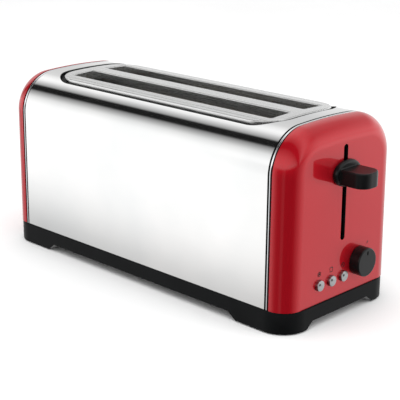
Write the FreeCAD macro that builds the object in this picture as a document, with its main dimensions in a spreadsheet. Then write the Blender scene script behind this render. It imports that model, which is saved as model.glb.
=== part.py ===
"""Long-slot pop up toaster: steel body, red end caps, black base, lever, knob, buttons and works.

Lengths are millimetres. +X points to the control end, +Z up, and z = 0 is where the feet stand.
Sizes live in the sheet below. Every place is measured from the middle of the body, and each finished
piece is then carried back by origin_shift, which puts the frame's origin under the middle of the whole
toaster, lever included.
"""
import FreeCAD, Part
import math
import os
import re
import Sketcher

SIZES = {
    # steel body: a bent sheet with leaning sides, round shoulders and a slightly domed top
    "body_half_length": 167.0,
    "body_half_width": 76.0,
    "side_lean": 1.0,
    "shoulder_radius": 40.0,
    "dome_radius": 600.0,
    "body_top": 182.8,
    "body_sheet": 0.8,
    "opening_end": 14.0,
    "opening_radius": 30.0,
    # top plate with the two bread slots
    "plate_groove": 4.5,
    "plate_end_rim": 12.5,
    "plate_side_rim": 13.8,
    "plate_radius": 26.0,
    "plate_wall": 1.5,
    "plate_skirt": 10.8,
    "slot_inner": 8.2,
    "slot_width": 28.0,
    "lip_wall": 1.2,
    "tab_width": 10.0,
    "seal_depth": 3.0,
    "seal_height": 6.0,
    # end caps and the trim between them and the steel
    "trim_width": 5.0,
    "trim_inset": 0.8,
    "trim_wall": 3.0,
    "bead_width": 1.8,
    "cap_depth": 20.0,
    "cap_rounding": 19.5,
    "cap_wall": 2.5,
    # base
    "base_overhang": 1.5,
    "base_radius": 26.0,
    "base_top": 21.3,
    "base_bottom": 7.5,
    "base_wall": 2.5,
    "base_edge": 1.2,
    "foot_length": 58.5,
    "foot_width": 28.0,
    "foot_slope": 10.0,
    "pad_height": 1.0,
    "pad_radius": 9.0,
    "pad_inset_x": 36.5,
    "pad_inset_y": 12.5,
    # sheet-metal works
    "plate_gap": 3.5,
    "chassis_sheet": 1.2,
    "chassis_margin": 11.0,
    "chassis_clearance": 3.0,
    "chassis_drop": 17.8,
    "flange_length": 12.0,
    "flange_width": 11.0,
    "reflector_sheet": 0.8,
    "reflector_gap": 5.5,
    "works_bottom": 24.0,
    "card_sheet": 0.8,
    "card_gap": 5.3,
    "card_bottom": 30.0,
    "card_drop": 7.0,
    "ribbon_width": 2.0,
    "ribbon_sheet": 0.4,
    "ribbon_inset": 10.0,
    "ribbon_count": 9.0,
    "guard_inset": 3.0,
    "guard_rail": 2.4,
    "guard_wire": 1.8,
    "guard_count": 9.0,
    # carriage, its racks and its guide rods
    "rack_floor": 33.0,
    "travel_up": 18.0,
    "rack_drop": 47.5,
    "rack_height": 8.0,
    "rack_sheet": 3.0,
    "tine_width": 16.0,
    "tine_length": 3.0,
    "tine_height": 2.0,
    "rack_play": 2.0,
    "rod_gap": 13.3,
    "rod_y": 16.0,
    "rod_radius": 2.5,
    "running_gap": 0.05,
    "sleeve_wall": 2.5,
    "carriage_plate": 2.0,
    "carriage_half_width": 27.0,
    "carriage_height": 18.0,
    "riser_half_width": 8.0,
    "spring_wire": 0.5,
    "spring_gap": 1.4,
    "spring_pitch": 4.6,
    "bridge_depth": 22.0,
    "bridge_sheet": 2.0,
    "lever_drop": 46.3,
    "arm_sheet": 4.0,
    "arm_height": 9.0,
    "arm_engagement": 6.0,
    "lever_slot_width": 6.0,
    "lever_room_below": 2.6,
    "lever_room_above": 3.0,
    "boss_width": 36.4,
    "boss_height": 24.4,
    "boss_depth": 4.5,
    "paddle_width": 26.0,
    "paddle_height": 14.0,
    "paddle_drop": 1.4,
    "paddle_reach": 31.0,
    "paddle_radius": 10.5,
    "lever_gap": 0.4,
    "keeper_half_width": 8.0,
    "keeper_sheet": 2.0,
    "relay_width": 16.0,
    "relay_depth": 12.0,
    "relay_height": 15.0,
    "capacitor_radius": 5.0,
    "capacitor_length": 12.0,
    "parts_y": 28.0,
    "parts_z": 34.0,
    "magnet_gap": 0.3,
    "coil_wall": 3.0,
    "coil_bottom": 13.0,
    "coil_top": 23.0,
    "core_length": 10.0,
    # controls
    "button_radius": 5.0,
    "button_proud": 3.0,
    "button_y": -14.5,
    "button_pitch": 17.0,
    "button_z": 38.5,
    "button_play": 0.2,
    "flange_lip": 1.5,
    "flange_sheet": 1.5,
    "flange_gap": 0.3,
    "button_travel": 2.4,
    "stem_radius": 2.5,
    "switch_height": 4.4,
    "switch_half": 3.0,
    "switch_play": 0.2,
    "knob_radius": 13.5,
    "knob_proud": 11.0,
    "knob_gap": 0.6,
    "knob_y": 24.6,
    "knob_z": 48.1,
    "knob_skin": 3.0,
    "shaft_radius": 3.0,
    "pot_radius": 8.5,
    "pot_depth": 8.0,
    "bushing_wall": 1.4,
    "bushing_length": 4.0,
    "board_inset": 18.0,
    "board_sheet": 1.6,
    "board_half_width": 44.0,
    "board_top": 66.0,
    # crumb tray and cord gland
    "tray_margin": 4.3,
    "tray_inset": 6.0,
    "tray_height": 8.0,
    "tray_sheet": 0.8,
    "tray_gap": 0.3,
    "tray_handle_depth": 6.0,
    "tray_grip_half_width": 20.0,
    "tray_grip_depth": 3.5,
    "tray_room": 2.0,
    "gland_radius": 4.7,
    "gland_bore": 3.4,
    "gland_length": 9.0,
    "gland_inset": 32.5,
    "gland_lip": 0.8,
    "screw_radius": 1.5,
    "screw_head_radius": 3.0,
    "screw_head": 2.0,
    "screw_length": 9.0,
    "screw_seat": 1.5,
    "post_radius": 4.0,
    "post_height": 14.0,
    "screw_inset_x": 12.0,
    "screw_inset_y": 18.0,
    "cut_margin": 1.0,
}

DERIVED = {
    # places worked out from the sizes above, written once as formulas of the sheet
    "origin_shift": "(cap_face + paddle_reach - base_half_length) / 2",
    "shoulder_half_width": "body_half_width - side_lean",
    "opening_half_length": "body_half_length - opening_end",
    "opening_half_width": "plate_half_width + plate_groove",
    "plate_half_length": "opening_half_length - plate_groove",
    "plate_half_width": "slot_outer + plate_side_rim",
    "slot_half_length": "plate_half_length - plate_end_rim",
    "cap_start": "body_half_length + trim_width",
    "cap_face": "cap_start + cap_depth",
    "base_half_length": "cap_face + base_overhang",
    "base_half_width": "body_half_width + base_overhang",
    "foot_gap_length": "base_half_length - foot_length",
    "foot_gap_width": "base_half_width - foot_width",
    "pad_x": "base_half_length - pad_inset_x",
    "pad_y": "base_half_width - pad_inset_y",
    "card_y": "slot_outer + card_gap",
    "reflector_y": "card_y + reflector_gap",
    "chassis_half_width": "reflector_y + chassis_margin",
    "chassis_top": "body_top - chassis_drop",
    "card_top": "chassis_top - card_drop",
    "ribbon_half_length": "slot_half_length - ribbon_inset",
    "lever_z": "body_top - lever_drop",
    "rack_bottom": "lever_z - rack_drop",
    "travel_down": "rack_bottom - rack_floor",
    "lever_slot_bottom": "lever_z - travel_down - arm_height / 2 - lever_room_below",
    "lever_slot_top": "lever_z + travel_up + arm_height / 2 + lever_room_above",
    "rod_x": "chassis_outer + rod_gap",
    "sleeve_radius": "rod_radius + sleeve_wall",
    "spring_radius": "rod_radius + spring_gap",
    "button_flange": "button_radius + flange_lip",
    "board_x": "cap_face - board_inset",
    "tray_front": "slot_half_length - tray_inset",
    "gland_y": "base_half_width - gland_inset",
    "tray_half_width": "gland_y - gland_radius - tray_margin",
    "cap_screw_x": "cap_face - screw_inset_x",
    "cap_screw_y": "body_half_width - screw_inset_y",
    "slot_outer": "slot_inner + slot_width",
    "slot_middle": "slot_inner + slot_width / 2",
    "base_floor": "base_bottom + base_wall",
    "chassis_x": "slot_half_length + plate_gap",
    "chassis_outer": "slot_half_length + plate_gap + chassis_sheet",
    "cap_inner": "cap_face - cap_wall",
    "carriage_x": "slot_half_length + plate_gap + chassis_sheet + rack_play",
    "carriage_bottom": "rack_bottom - rack_sheet",
    "guard_inner": "slot_inner + guard_inset",
    "guard_outer": "slot_inner + slot_width - guard_inset",
    "board_face": "board_x + board_sheet",
    "flange_front": "cap_face - cap_wall - flange_gap",
    "gland_z": "base_bottom + base_wall + gland_radius + gland_lip",
    "tray_low": "base_bottom + base_wall + tray_gap",
    "tray_back": "tray_handle_depth - base_half_length",
    "screw_seat_z": "base_bottom + base_wall - screw_seat",
}

TOUCH = 0.001
WORD = re.compile(r"[a-z_]+")
doc = FreeCAD.newDocument("toaster")
sheet = doc.addObject("Spreadsheet::Sheet", "Sizes")
pieces = []
starts = {}


def fill_sheet():
    """Put each size in a cell of its own, with its name as the alias."""
    for row, (name, size) in enumerate(SIZES.items(), start=1):
        sheet.set("A%d" % row, name)
        sheet.set("B%d" % row, str(size))
        sheet.setAlias("B%d" % row, name)
    doc.recompute()


def formula(text):
    """Turn size names in a formula into references to the sheet, opening derived places on the way."""
    def refer(found):
        name = found.group()
        if name in DERIVED:
            return "(" + formula(DERIVED[name]) + ")"
        return "Sizes." + name if name in SIZES else name
    return WORD.sub(refer, str(text))


def bind(thing, **formulas):
    """Bind properties to formulas. A double underscore in a name stands for a dot."""
    for name, text in formulas.items():
        thing.setExpression(name.replace("__", "."), formula(text))
    return thing


def place(thing, at):
    """Bind an object's position to three formulas, and keep the first for when it is a finished piece."""
    starts[thing.Name] = at[0]
    return bind(thing, Placement__Base__x=at[0], Placement__Base__y=at[1], Placement__Base__z=at[2])


def box(name, x_range, y_range, z_range):
    """A block between the low and high formulas of each axis."""
    block = doc.addObject("Part::Box", name)
    place(block, (x_range[0], y_range[0], z_range[0]))
    spans = ["(%s) - (%s)" % (high, low) for low, high in (x_range, y_range, z_range)]
    return bind(block, Length=spans[0], Width=spans[1], Height=spans[2])


TURNS = {
    "x": FreeCAD.Rotation(FreeCAD.Vector(0, 1, 0), 90),
    "y": FreeCAD.Rotation(FreeCAD.Vector(1, 0, 0), -90),
    "z": FreeCAD.Rotation(),
}


def rod(name, along, start, radius, length):
    """A round bar that starts at three formulas and runs along +x, +y or +z."""
    bar = doc.addObject("Part::Cylinder", name)
    bar.Placement = FreeCAD.Placement(FreeCAD.Vector(), TURNS[along])
    place(bar, start)
    return bind(bar, Radius=radius, Height=length)


def joined(name, parts):
    """One solid, or one set of solids, out of several."""
    whole = doc.addObject("Part::MultiFuse", name)
    whole.Shapes = parts
    return whole


def less(name, base, tools):
    """The base with the tools cut away."""
    tool = tools[0] if len(tools) == 1 else joined(name + "_tools", tools)
    rest = doc.addObject("Part::Cut", name)
    rest.Base = base
    rest.Tool = tool
    return rest


def shared(name, first, second):
    """What two solids have in common."""
    both = doc.addObject("Part::Common", name)
    both.Base = first
    both.Tool = second
    return both


def piece(thing, label):
    """Name a finished piece and carry it into the toaster's frame."""
    thing.Label = label
    bind(thing, Placement__Base__x="(%s) - origin_shift" % starts.get(thing.Name, "0"))
    pieces.append(thing)
    return thing


def new_body(name):
    return doc.addObject("PartDesign::Body", name)


def new_sketch(body, name, role, offset="0"):
    """A sketch on one of the body's own planes, moved along its normal by a formula."""
    sketch = body.newObject("Sketcher::SketchObject", name)
    plane = [part for part in body.Origin.OriginFeatures if part.Role == role][0]
    sketch.AttachmentSupport = [(plane, "")]
    sketch.MapMode = "FlatFace"
    return bind(sketch, AttachmentOffset__Base__z=offset)


def pin_down(sketch, kind, geometry, point, size, text):
    """Hold a point of the sketch at a formula's distance from the sketch's origin."""
    index = sketch.addConstraint(Sketcher.Constraint(kind, -1, 1, geometry, point, size))
    sketch.setExpression("Constraints[%d]" % index, formula(text))


def set_radius(sketch, arc, size, text):
    index = sketch.addConstraint(Sketcher.Constraint("Radius", arc, size))
    sketch.setExpression("Constraints[%d]" % index, formula(text))


def point(x, y):
    return FreeCAD.Vector(x, y, 0)


def polygon(sketch, start, corners):
    """A closed outline through rough corners, each held by a pair of formulas."""
    count = len(corners)
    first = sketch.GeometryCount
    for n in range(count):
        sketch.addGeometry(Part.LineSegment(point(*start[n]), point(*start[(n + 1) % count])), False)
    for n in range(count):
        sketch.addConstraint(Sketcher.Constraint("Coincident", first + n, 2, first + (n + 1) % count, 1))
    for n, (across, up) in enumerate(corners):
        pin_down(sketch, "DistanceX", first + n, 1, start[n][0], across)
        pin_down(sketch, "DistanceY", first + n, 1, start[n][1], up)


def number(name):
    """A size or derived place as a number, for the rough outline that a sketch starts from."""
    return float(sheet.evalExpression(formula(name)))


def rounded_rectangle(sketch, half_x, half_y, radius, sizes):
    """A rectangle with round corners about the sketch's origin. sizes are its rough measures."""
    wide, deep, bend = sizes
    first = sketch.GeometryCount
    straight = [
        ((wide, bend - deep), (wide, deep - bend)),
        ((wide - bend, deep), (bend - wide, deep)),
        ((-wide, deep - bend), (-wide, bend - deep)),
        ((bend - wide, -deep), (wide - bend, -deep)),
    ]
    centres = [(1, 1), (-1, 1), (-1, -1), (1, -1)]
    for n in range(4):
        sketch.addGeometry(Part.LineSegment(point(*straight[n][0]), point(*straight[n][1])), False)
        middle = point(centres[n][0] * (wide - bend), centres[n][1] * (deep - bend))
        circle = Part.Circle(middle, FreeCAD.Vector(0, 0, 1), bend)
        sketch.addGeometry(Part.ArcOfCircle(circle, n * math.pi / 2, (n + 1) * math.pi / 2), False)
    for n in range(4):
        line, arc, after = first + 2 * n, first + 2 * n + 1, first + (2 * n + 2) % 8
        sketch.addConstraint(Sketcher.Constraint("Tangent", line, 2, arc, 1))
        sketch.addConstraint(Sketcher.Constraint("Tangent", arc, 2, after, 1))
        sketch.addConstraint(Sketcher.Constraint("Vertical" if n % 2 == 0 else "Horizontal", line))
    for n in range(1, 4):
        sketch.addConstraint(Sketcher.Constraint("Equal", first + 1, first + 2 * n + 1))
    set_radius(sketch, first + 1, bend, radius)
    pin_down(sketch, "DistanceX", first, 1, wide, half_x)
    pin_down(sketch, "DistanceY", first + 2, 1, deep, half_y)
    pin_down(sketch, "DistanceX", first + 4, 1, -wide, "-(%s)" % half_x)
    pin_down(sketch, "DistanceY", first + 6, 1, -deep, "-(%s)" % half_y)


def body_outline(sketch, inset):
    """The steel body's section, drawn in by a formula: leaning sides, round shoulders, domed top."""
    gap = number(inset) if inset in SIZES else 0.0
    low = number("base_top")
    foot = number("body_half_width") - gap
    side = number("shoulder_half_width") - gap
    bend = number("shoulder_radius") - gap
    dome = number("dome_radius") - gap
    bend_y = side - bend
    dome_z = number("body_top") - gap - dome
    bend_z = dome_z + math.sqrt((dome - bend) ** 2 - bend_y**2)
    lean = math.atan2(bend_z - dome_z, bend_y)
    touch = (dome * math.cos(lean), dome_z + dome * math.sin(lean))
    out = FreeCAD.Vector(0, 0, 1)
    sketch.addGeometry(Part.LineSegment(point(-foot, low), point(foot, low)), False)
    sketch.addGeometry(Part.LineSegment(point(foot, low), point(side, bend_z)), False)
    sketch.addGeometry(Part.ArcOfCircle(Part.Circle(point(bend_y, bend_z), out, bend), 0, lean), False)
    sketch.addGeometry(Part.ArcOfCircle(Part.Circle(point(0, dome_z), out, dome), lean,
                                        math.pi - lean), False)
    sketch.addGeometry(
        Part.ArcOfCircle(Part.Circle(point(-bend_y, bend_z), out, bend), math.pi - lean, math.pi), False
    )
    sketch.addGeometry(Part.LineSegment(point(-side, bend_z), point(-foot, low)), False)
    base, right, right_bend, top, left_bend, left = range(6)
    for first, second in ((base, right), (left, base)):
        sketch.addConstraint(Sketcher.Constraint("Coincident", first, 2, second, 1))
    for first, second in ((right, right_bend), (right_bend, top), (top, left_bend), (left_bend, left)):
        sketch.addConstraint(Sketcher.Constraint("Tangent", first, 2, second, 1))
    sketch.addConstraint(Sketcher.Constraint("Symmetric", base, 1, base, 2, -2))
    sketch.addConstraint(Sketcher.Constraint("Equal", right_bend, left_bend))
    sketch.addConstraint(Sketcher.Constraint("PointOnObject", top, 3, -2))
    pin_down(sketch, "DistanceX", right, 1, foot, "body_half_width - (%s)" % inset)
    pin_down(sketch, "DistanceY", right, 1, low, "base_top")
    pin_down(sketch, "DistanceX", right_bend, 1, side, "shoulder_half_width - (%s)" % inset)
    pin_down(sketch, "DistanceX", left, 1, -side, "(%s) - shoulder_half_width" % inset)
    set_radius(sketch, right_bend, bend, "shoulder_radius - (%s)" % inset)
    set_radius(sketch, top, dome, "dome_radius - (%s)" % inset)
    pin_down(sketch, "DistanceY", top, 3, dome_z, "body_top - dome_radius")


def bar_of_body(name, inset, low, high):
    """The body's section as a solid bar from one x to another."""
    body = new_body(name)
    sketch = new_sketch(body, name + "_outline", "YZ_Plane", low)
    body_outline(sketch, inset)
    pad = body.newObject("PartDesign::Pad", name + "_bar")
    pad.Profile = sketch
    bind(pad, Length="(%s) - (%s)" % (high, low))
    return body


def rounded_slab(name, half_x, half_y, radius, low, high, sizes):
    """A slab with round corners from one height to another."""
    body = new_body(name)
    sketch = new_sketch(body, name + "_outline", "XY_Plane", low)
    rounded_rectangle(sketch, half_x, half_y, radius, sizes)
    pad = body.newObject("PartDesign::Pad", name + "_slab")
    pad.Profile = sketch
    bind(pad, Length="(%s) - (%s)" % (high, low))
    return body


def slot_block(name, side, grow, low, high):
    """The space of one bread slot, wider all round by a formula, on the side -1 or 1."""
    inner, outer = "slot_inner - (%s)" % grow, "slot_outer + (%s)" % grow
    across = (inner, outer) if side > 0 else ("-(%s)" % outer, "-(%s)" % inner)
    reach = "slot_half_length + (%s)" % grow
    return box(name, ("-(%s)" % reach, reach), across, (low, high))


def make_body():
    """The bent steel sheet, open below and at both ends, with the large opening for the top plate."""
    outside = bar_of_body("body_outside", "0", "-body_half_length", "body_half_length")
    ends = ("-body_half_length - cap_wall", "body_half_length + cap_wall")
    inside = bar_of_body("body_inside", "body_sheet", *ends)
    opening = rounded_slab(
        "body_opening", "opening_half_length", "opening_half_width", "opening_radius",
        "chassis_top - plate_skirt", "body_top + cap_wall",
        (number("opening_half_length"), number("opening_half_width"), number("opening_radius")),
    )
    piece(less("body_wrap", outside, [inside, opening]), "steel_wrap")


def make_top_plate():
    """The domed plate with a turned-down skirt, a slot on each side and a lip round each slot."""
    measures = (number("plate_half_length"), number("plate_half_width"), number("plate_radius"))
    low = "body_top - plate_skirt"
    high = "body_top + cap_wall"
    ends = ("-body_half_length", "body_half_length")
    outline = rounded_slab(
        "plate_outline", "plate_half_length", "plate_half_width", "plate_radius", low, high, measures
    )
    outside = shared("plate_outside", outline, bar_of_body("plate_dome", "0", *ends))
    hollow_outline = rounded_slab(
        "plate_hollow_outline", "plate_half_length - plate_wall", "plate_half_width - plate_wall",
        "plate_radius - plate_wall", "body_top - 2 * plate_skirt", high, measures
    )
    hollow = shared("plate_hollow", hollow_outline, bar_of_body("plate_inner_dome", "plate_wall", *ends))
    collars = [slot_block("slot_collar_%d" % n, side, "lip_wall", "body_top - 2 * plate_skirt", high)
               for n, side in enumerate((-1, 1))]
    slots = [slot_block("slot_space_%d" % n, side, "0", "body_top - 2 * plate_skirt", high)
             for n, side in enumerate((-1, 1))]
    room = less("plate_room", hollow, collars)
    ends = (("chassis_x", "chassis_outer"), ("-(chassis_outer)", "-(chassis_x)"))
    tabs = [box("plate_tab_%d" % n, along, ("-tab_width / 2", "tab_width / 2"),
                ("chassis_top", "body_top - plate_wall"))
            for n, along in enumerate(ends)]
    piece(joined("plate", [less("plate_cut", outside, [room] + slots)] + tabs), "top_plate")


def make_top_seal():
    """The black seal under the edge of the steel, with the sunk groove round the top plate."""
    measures = (number("opening_half_length"), number("opening_half_width"), number("opening_radius"))
    low = "body_top - seal_depth - 2 * seal_height"
    high = "body_top + cap_wall"
    outline = rounded_slab("seal_outline", "opening_half_length + plate_wall",
                           "opening_half_width + plate_wall",
                           "opening_radius + plate_wall", low, high, measures)
    block = shared("seal_block", outline,
                   bar_of_body("seal_dome", "body_sheet", "-body_half_length", "body_half_length"))
    mouth = rounded_slab("seal_mouth", "opening_half_length", "opening_half_width", "opening_radius",
                         low, high, measures)
    groove = less("seal_groove", mouth,
                  [bar_of_body("seal_floor", "seal_depth", "-body_half_length", "body_half_length")])
    under = bar_of_body("seal_under", "seal_depth + seal_height", "-body_half_length", "body_half_length")
    centre = rounded_slab("seal_centre", "plate_half_length", "plate_half_width", "plate_radius",
                          "body_top - 4 * plate_skirt", high, measures)
    piece(less("seal", block, [under, centre, groove]), "top_seal")


def rim_edges(pad):
    """The edges of a cap's outer face, apart from the one along its foot."""
    reach = max(vertex.X for vertex in pad.Shape.Vertexes)
    foot = min(vertex.Z for vertex in pad.Shape.Vertexes)
    rim = []
    for n, edge in enumerate(pad.Shape.Edges, start=1):
        on_face = all(abs(vertex.X - reach) < TOUCH for vertex in edge.Vertexes)
        along_foot = all(abs(vertex.Z - foot) < TOUCH for vertex in edge.Vertexes)
        if on_face and not along_foot:
            rim.append("Edge%d" % n)
    return rim


def cap_form(name, inset, rounding, face):
    """A cap's outer or inner form: the body's section with its outer edge rounded over."""
    body = bar_of_body(name, inset, "cap_start", face)
    doc.recompute()
    pad = body.Tip
    fillet = body.newObject("PartDesign::Fillet", name + "_rounding")
    fillet.Base = (pad, rim_edges(pad))
    bind(fillet, Radius=rounding)
    return body


def cap_shell(name):
    """A hollow end cap that faces +X, with two bosses for the screws that come up through the base."""
    outside = cap_form(name + "_outside", "0", "cap_rounding", "cap_face")
    inside = cap_form(name + "_inside", "cap_wall", "cap_rounding - cap_wall", "cap_inner")
    parts = [less(name + "_shell", outside, [inside])]
    holes = []
    for n, side in enumerate(("-", "")):
        y = side + "cap_screw_y"
        parts.append(rod("%s_post_%d" % (name, n), "z", ("cap_screw_x", y, "base_floor"), "post_radius",
                         "base_top + post_height - base_floor"))
        parts.append(box("%s_rib_%d" % (name, n), ("cap_screw_x", "cap_inner"),
                         (y + " - post_radius / 2", y + " + post_radius / 2"),
                         ("base_top", "base_top + post_height")))
        holes.append(rod("%s_screw_hole_%d" % (name, n), "z", ("cap_screw_x", y, "base_bottom"),
                         "screw_radius", "base_top"))
    return less(name + "_bored", joined(name + "_with_posts", parts), holes)


def button_place(n):
    return "button_y + %d * button_pitch" % (n - 1)


def make_caps():
    """The control end's cap with its slot and holes, and the plain cap of the far end."""
    through = ("cap_inner - cap_wall", "cap_face + cap_wall")
    slot_ends = ("lever_slot_bottom + lever_slot_width / 2", "lever_slot_top - lever_slot_width / 2")
    slot = [box("cap_lever_slot", through, ("-lever_slot_width / 2", "lever_slot_width / 2"), slot_ends)]
    slot += [rod("cap_slot_end_%d" % n, "x", (through[0], "0", end), "lever_slot_width / 2", "3 * cap_wall")
             for n, end in enumerate(slot_ends)]
    knob_hole = rod("cap_knob_hole", "x", (through[0], "knob_y", "knob_z"),
                    "shaft_radius + bushing_wall + button_play", "3 * cap_wall")
    holes = [rod("cap_button_hole_%d" % n, "x", (through[0], button_place(n), "button_z"),
                 "button_radius + button_play", "3 * cap_wall") for n in range(3)]
    piece(less("front_cap_cut", cap_shell("front"), slot + [knob_hole] + holes), "front_cap")
    rear = doc.addObject("Part::Mirroring", "rear_cap_mirror")
    rear.Source = cap_shell("rear")
    rear.Normal = FreeCAD.Vector(1, 0, 0)
    piece(rear, "rear_cap")


def make_trims():
    """Between the steel and each cap: a sunk black ring with a bright bead round it."""
    for label, low, high in (("front", "body_half_length", "cap_start"),
                             ("rear", "-(cap_start)", "-body_half_length")):
        ring = bar_of_body(label + "_ring", "trim_inset", low, high)
        bore = bar_of_body(label + "_ring_bore", "trim_wall", low, high)
        piece(less(label + "_ring_cut", ring, [bore]), label + "_trim_ring")
        middle = "(%s + %s) / 2" % (low, high)
        bead_ends = ("%s - bead_width / 2" % middle, "%s + bead_width / 2" % middle)
        bead = bar_of_body(label + "_bead", "0", *bead_ends)
        bead_bore = bar_of_body(label + "_bead_bore", "trim_inset", *bead_ends)
        piece(less(label + "_bead_cut", bead, [bead_bore]), label + "_trim_bead")


def base_measures():
    return number("base_half_length"), number("base_half_width"), number("base_radius")


def channel(name, along, half_span, high):
    """A gap between the feet that runs right across, wider at the floor than at the top."""
    body = new_body(name)
    role, reach = ("XZ_Plane", "base_half_width") if along == "y" else ("YZ_Plane", "base_half_length")
    sketch = new_sketch(body, name + "_outline", role)
    wide = number(half_span)
    slope = number("foot_slope")
    polygon(sketch, [(-wide, 0), (wide, 0), (wide - slope, number(high)), (slope - wide, number(high))],
            [("-" + half_span, "0"), (half_span, "0"), (half_span + " - foot_slope", high),
             ("foot_slope - " + half_span, high)])
    pad = body.newObject("PartDesign::Pad", name + "_gap")
    pad.Profile = sketch
    pad.SideType = "Symmetric"
    bind(pad, Length="2 * %s + 2 * base_wall" % reach)
    return body


def make_base():
    """The moulded base: a walled tray with an edge at the top, four corner feet and the tray's mouth."""
    outside = rounded_slab("base_outline", "base_half_length", "base_half_width", "base_radius",
                           "pad_height", "base_top", base_measures())
    doc.recompute()
    pad = outside.Tip
    top = [face for face in range(1, len(pad.Shape.Faces) + 1)
           if pad.Shape.Faces[face - 1].BoundBox.ZMin > number("base_top") - TOUCH]
    edge = outside.newObject("PartDesign::Chamfer", "base_top_edge")
    edge.Base = (pad, ["Face%d" % face for face in top])
    bind(edge, Size="base_edge")
    inside = rounded_slab("base_inside", "base_half_length - base_wall", "base_half_width - base_wall",
                          "base_radius - base_wall", "base_floor", "base_top + base_wall", base_measures())
    gaps = [channel("gap_along", "x", "foot_gap_width", "base_bottom"),
            channel("gap_across", "y", "foot_gap_length", "base_bottom")]
    mouth = box("tray_mouth", ("-base_half_length - base_wall", "base_wall - base_half_length"),
                ("-tray_half_width - tray_gap", "tray_half_width + tray_gap"),
                ("base_floor", "base_floor + tray_height + 2 * tray_gap"))
    gland_hole = rod("gland_hole", "x", ("-base_half_length - base_wall", "gland_y", "gland_z"),
                     "gland_radius", "3 * base_wall")
    holes = []
    for n, (x, y) in enumerate(screw_places()):
        holes.append(rod("base_screw_hole_%d" % n, "z", (x, y, "0"), "screw_radius", "base_top"))
        holes.append(rod("base_screw_seat_%d" % n, "z", (x, y, "0"), "screw_head_radius", "screw_seat_z"))
    piece(less("base", outside, [inside, mouth, gland_hole] + gaps + holes), "base_housing")


def screw_places():
    """Where screws come up through the feet: four into the caps and four into the chassis flanges."""
    caps = [("%scap_screw_x" % x, "%scap_screw_y" % y) for x in ("-", "") for y in ("-", "")]
    flanges = [("%s(chassis_outer + flange_length / 2)" % x,
                "%s(chassis_half_width - flange_width / 2)" % y)
               for x in ("-", "") for y in ("-", "")]
    return caps + flanges


def make_screws():
    """Eight identical screws, heads down in the feet."""
    screws = []
    for n, (x, y) in enumerate(screw_places()):
        screws.append(rod("screw_head_%d" % n, "z", (x, y, "screw_seat_z - screw_head"),
                          "screw_head_radius", "screw_head"))
        screws.append(rod("screw_shank_%d" % n, "z", (x, y, "screw_seat_z"), "screw_radius",
                          "screw_length"))
    piece(joined("screws", screws), "base_screws")


def make_foot_pads():
    pads = [rod("pad_%d" % n, "z", ("%spad_x" % x, "%spad_y" % y, "0"), "pad_radius", "pad_height")
            for n, (x, y) in enumerate((x, y) for x in ("-", "") for y in ("-", ""))]
    piece(joined("pads", pads), "foot_pads")


def make_gland():
    """The bush in the rear wall of the base where the mains lead would leave."""
    back = "-base_half_length"
    sleeve = rod("gland_sleeve", "x", (back, "gland_y", "gland_z"), "gland_radius", "gland_length")
    lip = rod("gland_lip_ring", "x", (back + " + base_wall", "gland_y", "gland_z"),
              "gland_radius + gland_lip", "gland_lip")
    bore = rod("gland_bore_hole", "x", (back + " - gland_lip", "gland_y", "gland_z"), "gland_bore",
               "gland_length + 2 * gland_lip")
    piece(less("gland", joined("gland_solid", [sleeve, lip]), [bore]), "cord_gland")


def make_crumb_tray():
    """A folded sheet tray on the base's floor, with a moulded handle that closes the mouth."""
    across = ("-tray_half_width", "tray_half_width")
    block = box("tray_block", ("tray_back", "tray_front"), across, ("tray_low", "tray_low + tray_height"))
    hollow = box("tray_hollow", ("tray_back + tray_sheet", "tray_front - tray_sheet"),
                 ("tray_sheet - tray_half_width", "tray_half_width - tray_sheet"),
                 ("tray_low + tray_sheet", "tray_low + 2 * tray_height"))
    piece(less("tray", block, [hollow]), "crumb_tray")
    handle = box("handle_block", ("-base_half_length", "tray_back"), across,
                 ("tray_low", "tray_low + tray_height"))
    grip = box("handle_grip", ("-base_half_length - tray_gap", "tray_grip_depth - base_half_length"),
               ("-tray_grip_half_width", "tray_grip_half_width"),
               ("base_floor", "tray_low + tray_height / 2"))
    piece(less("handle", handle, [grip]), "tray_handle")


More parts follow.
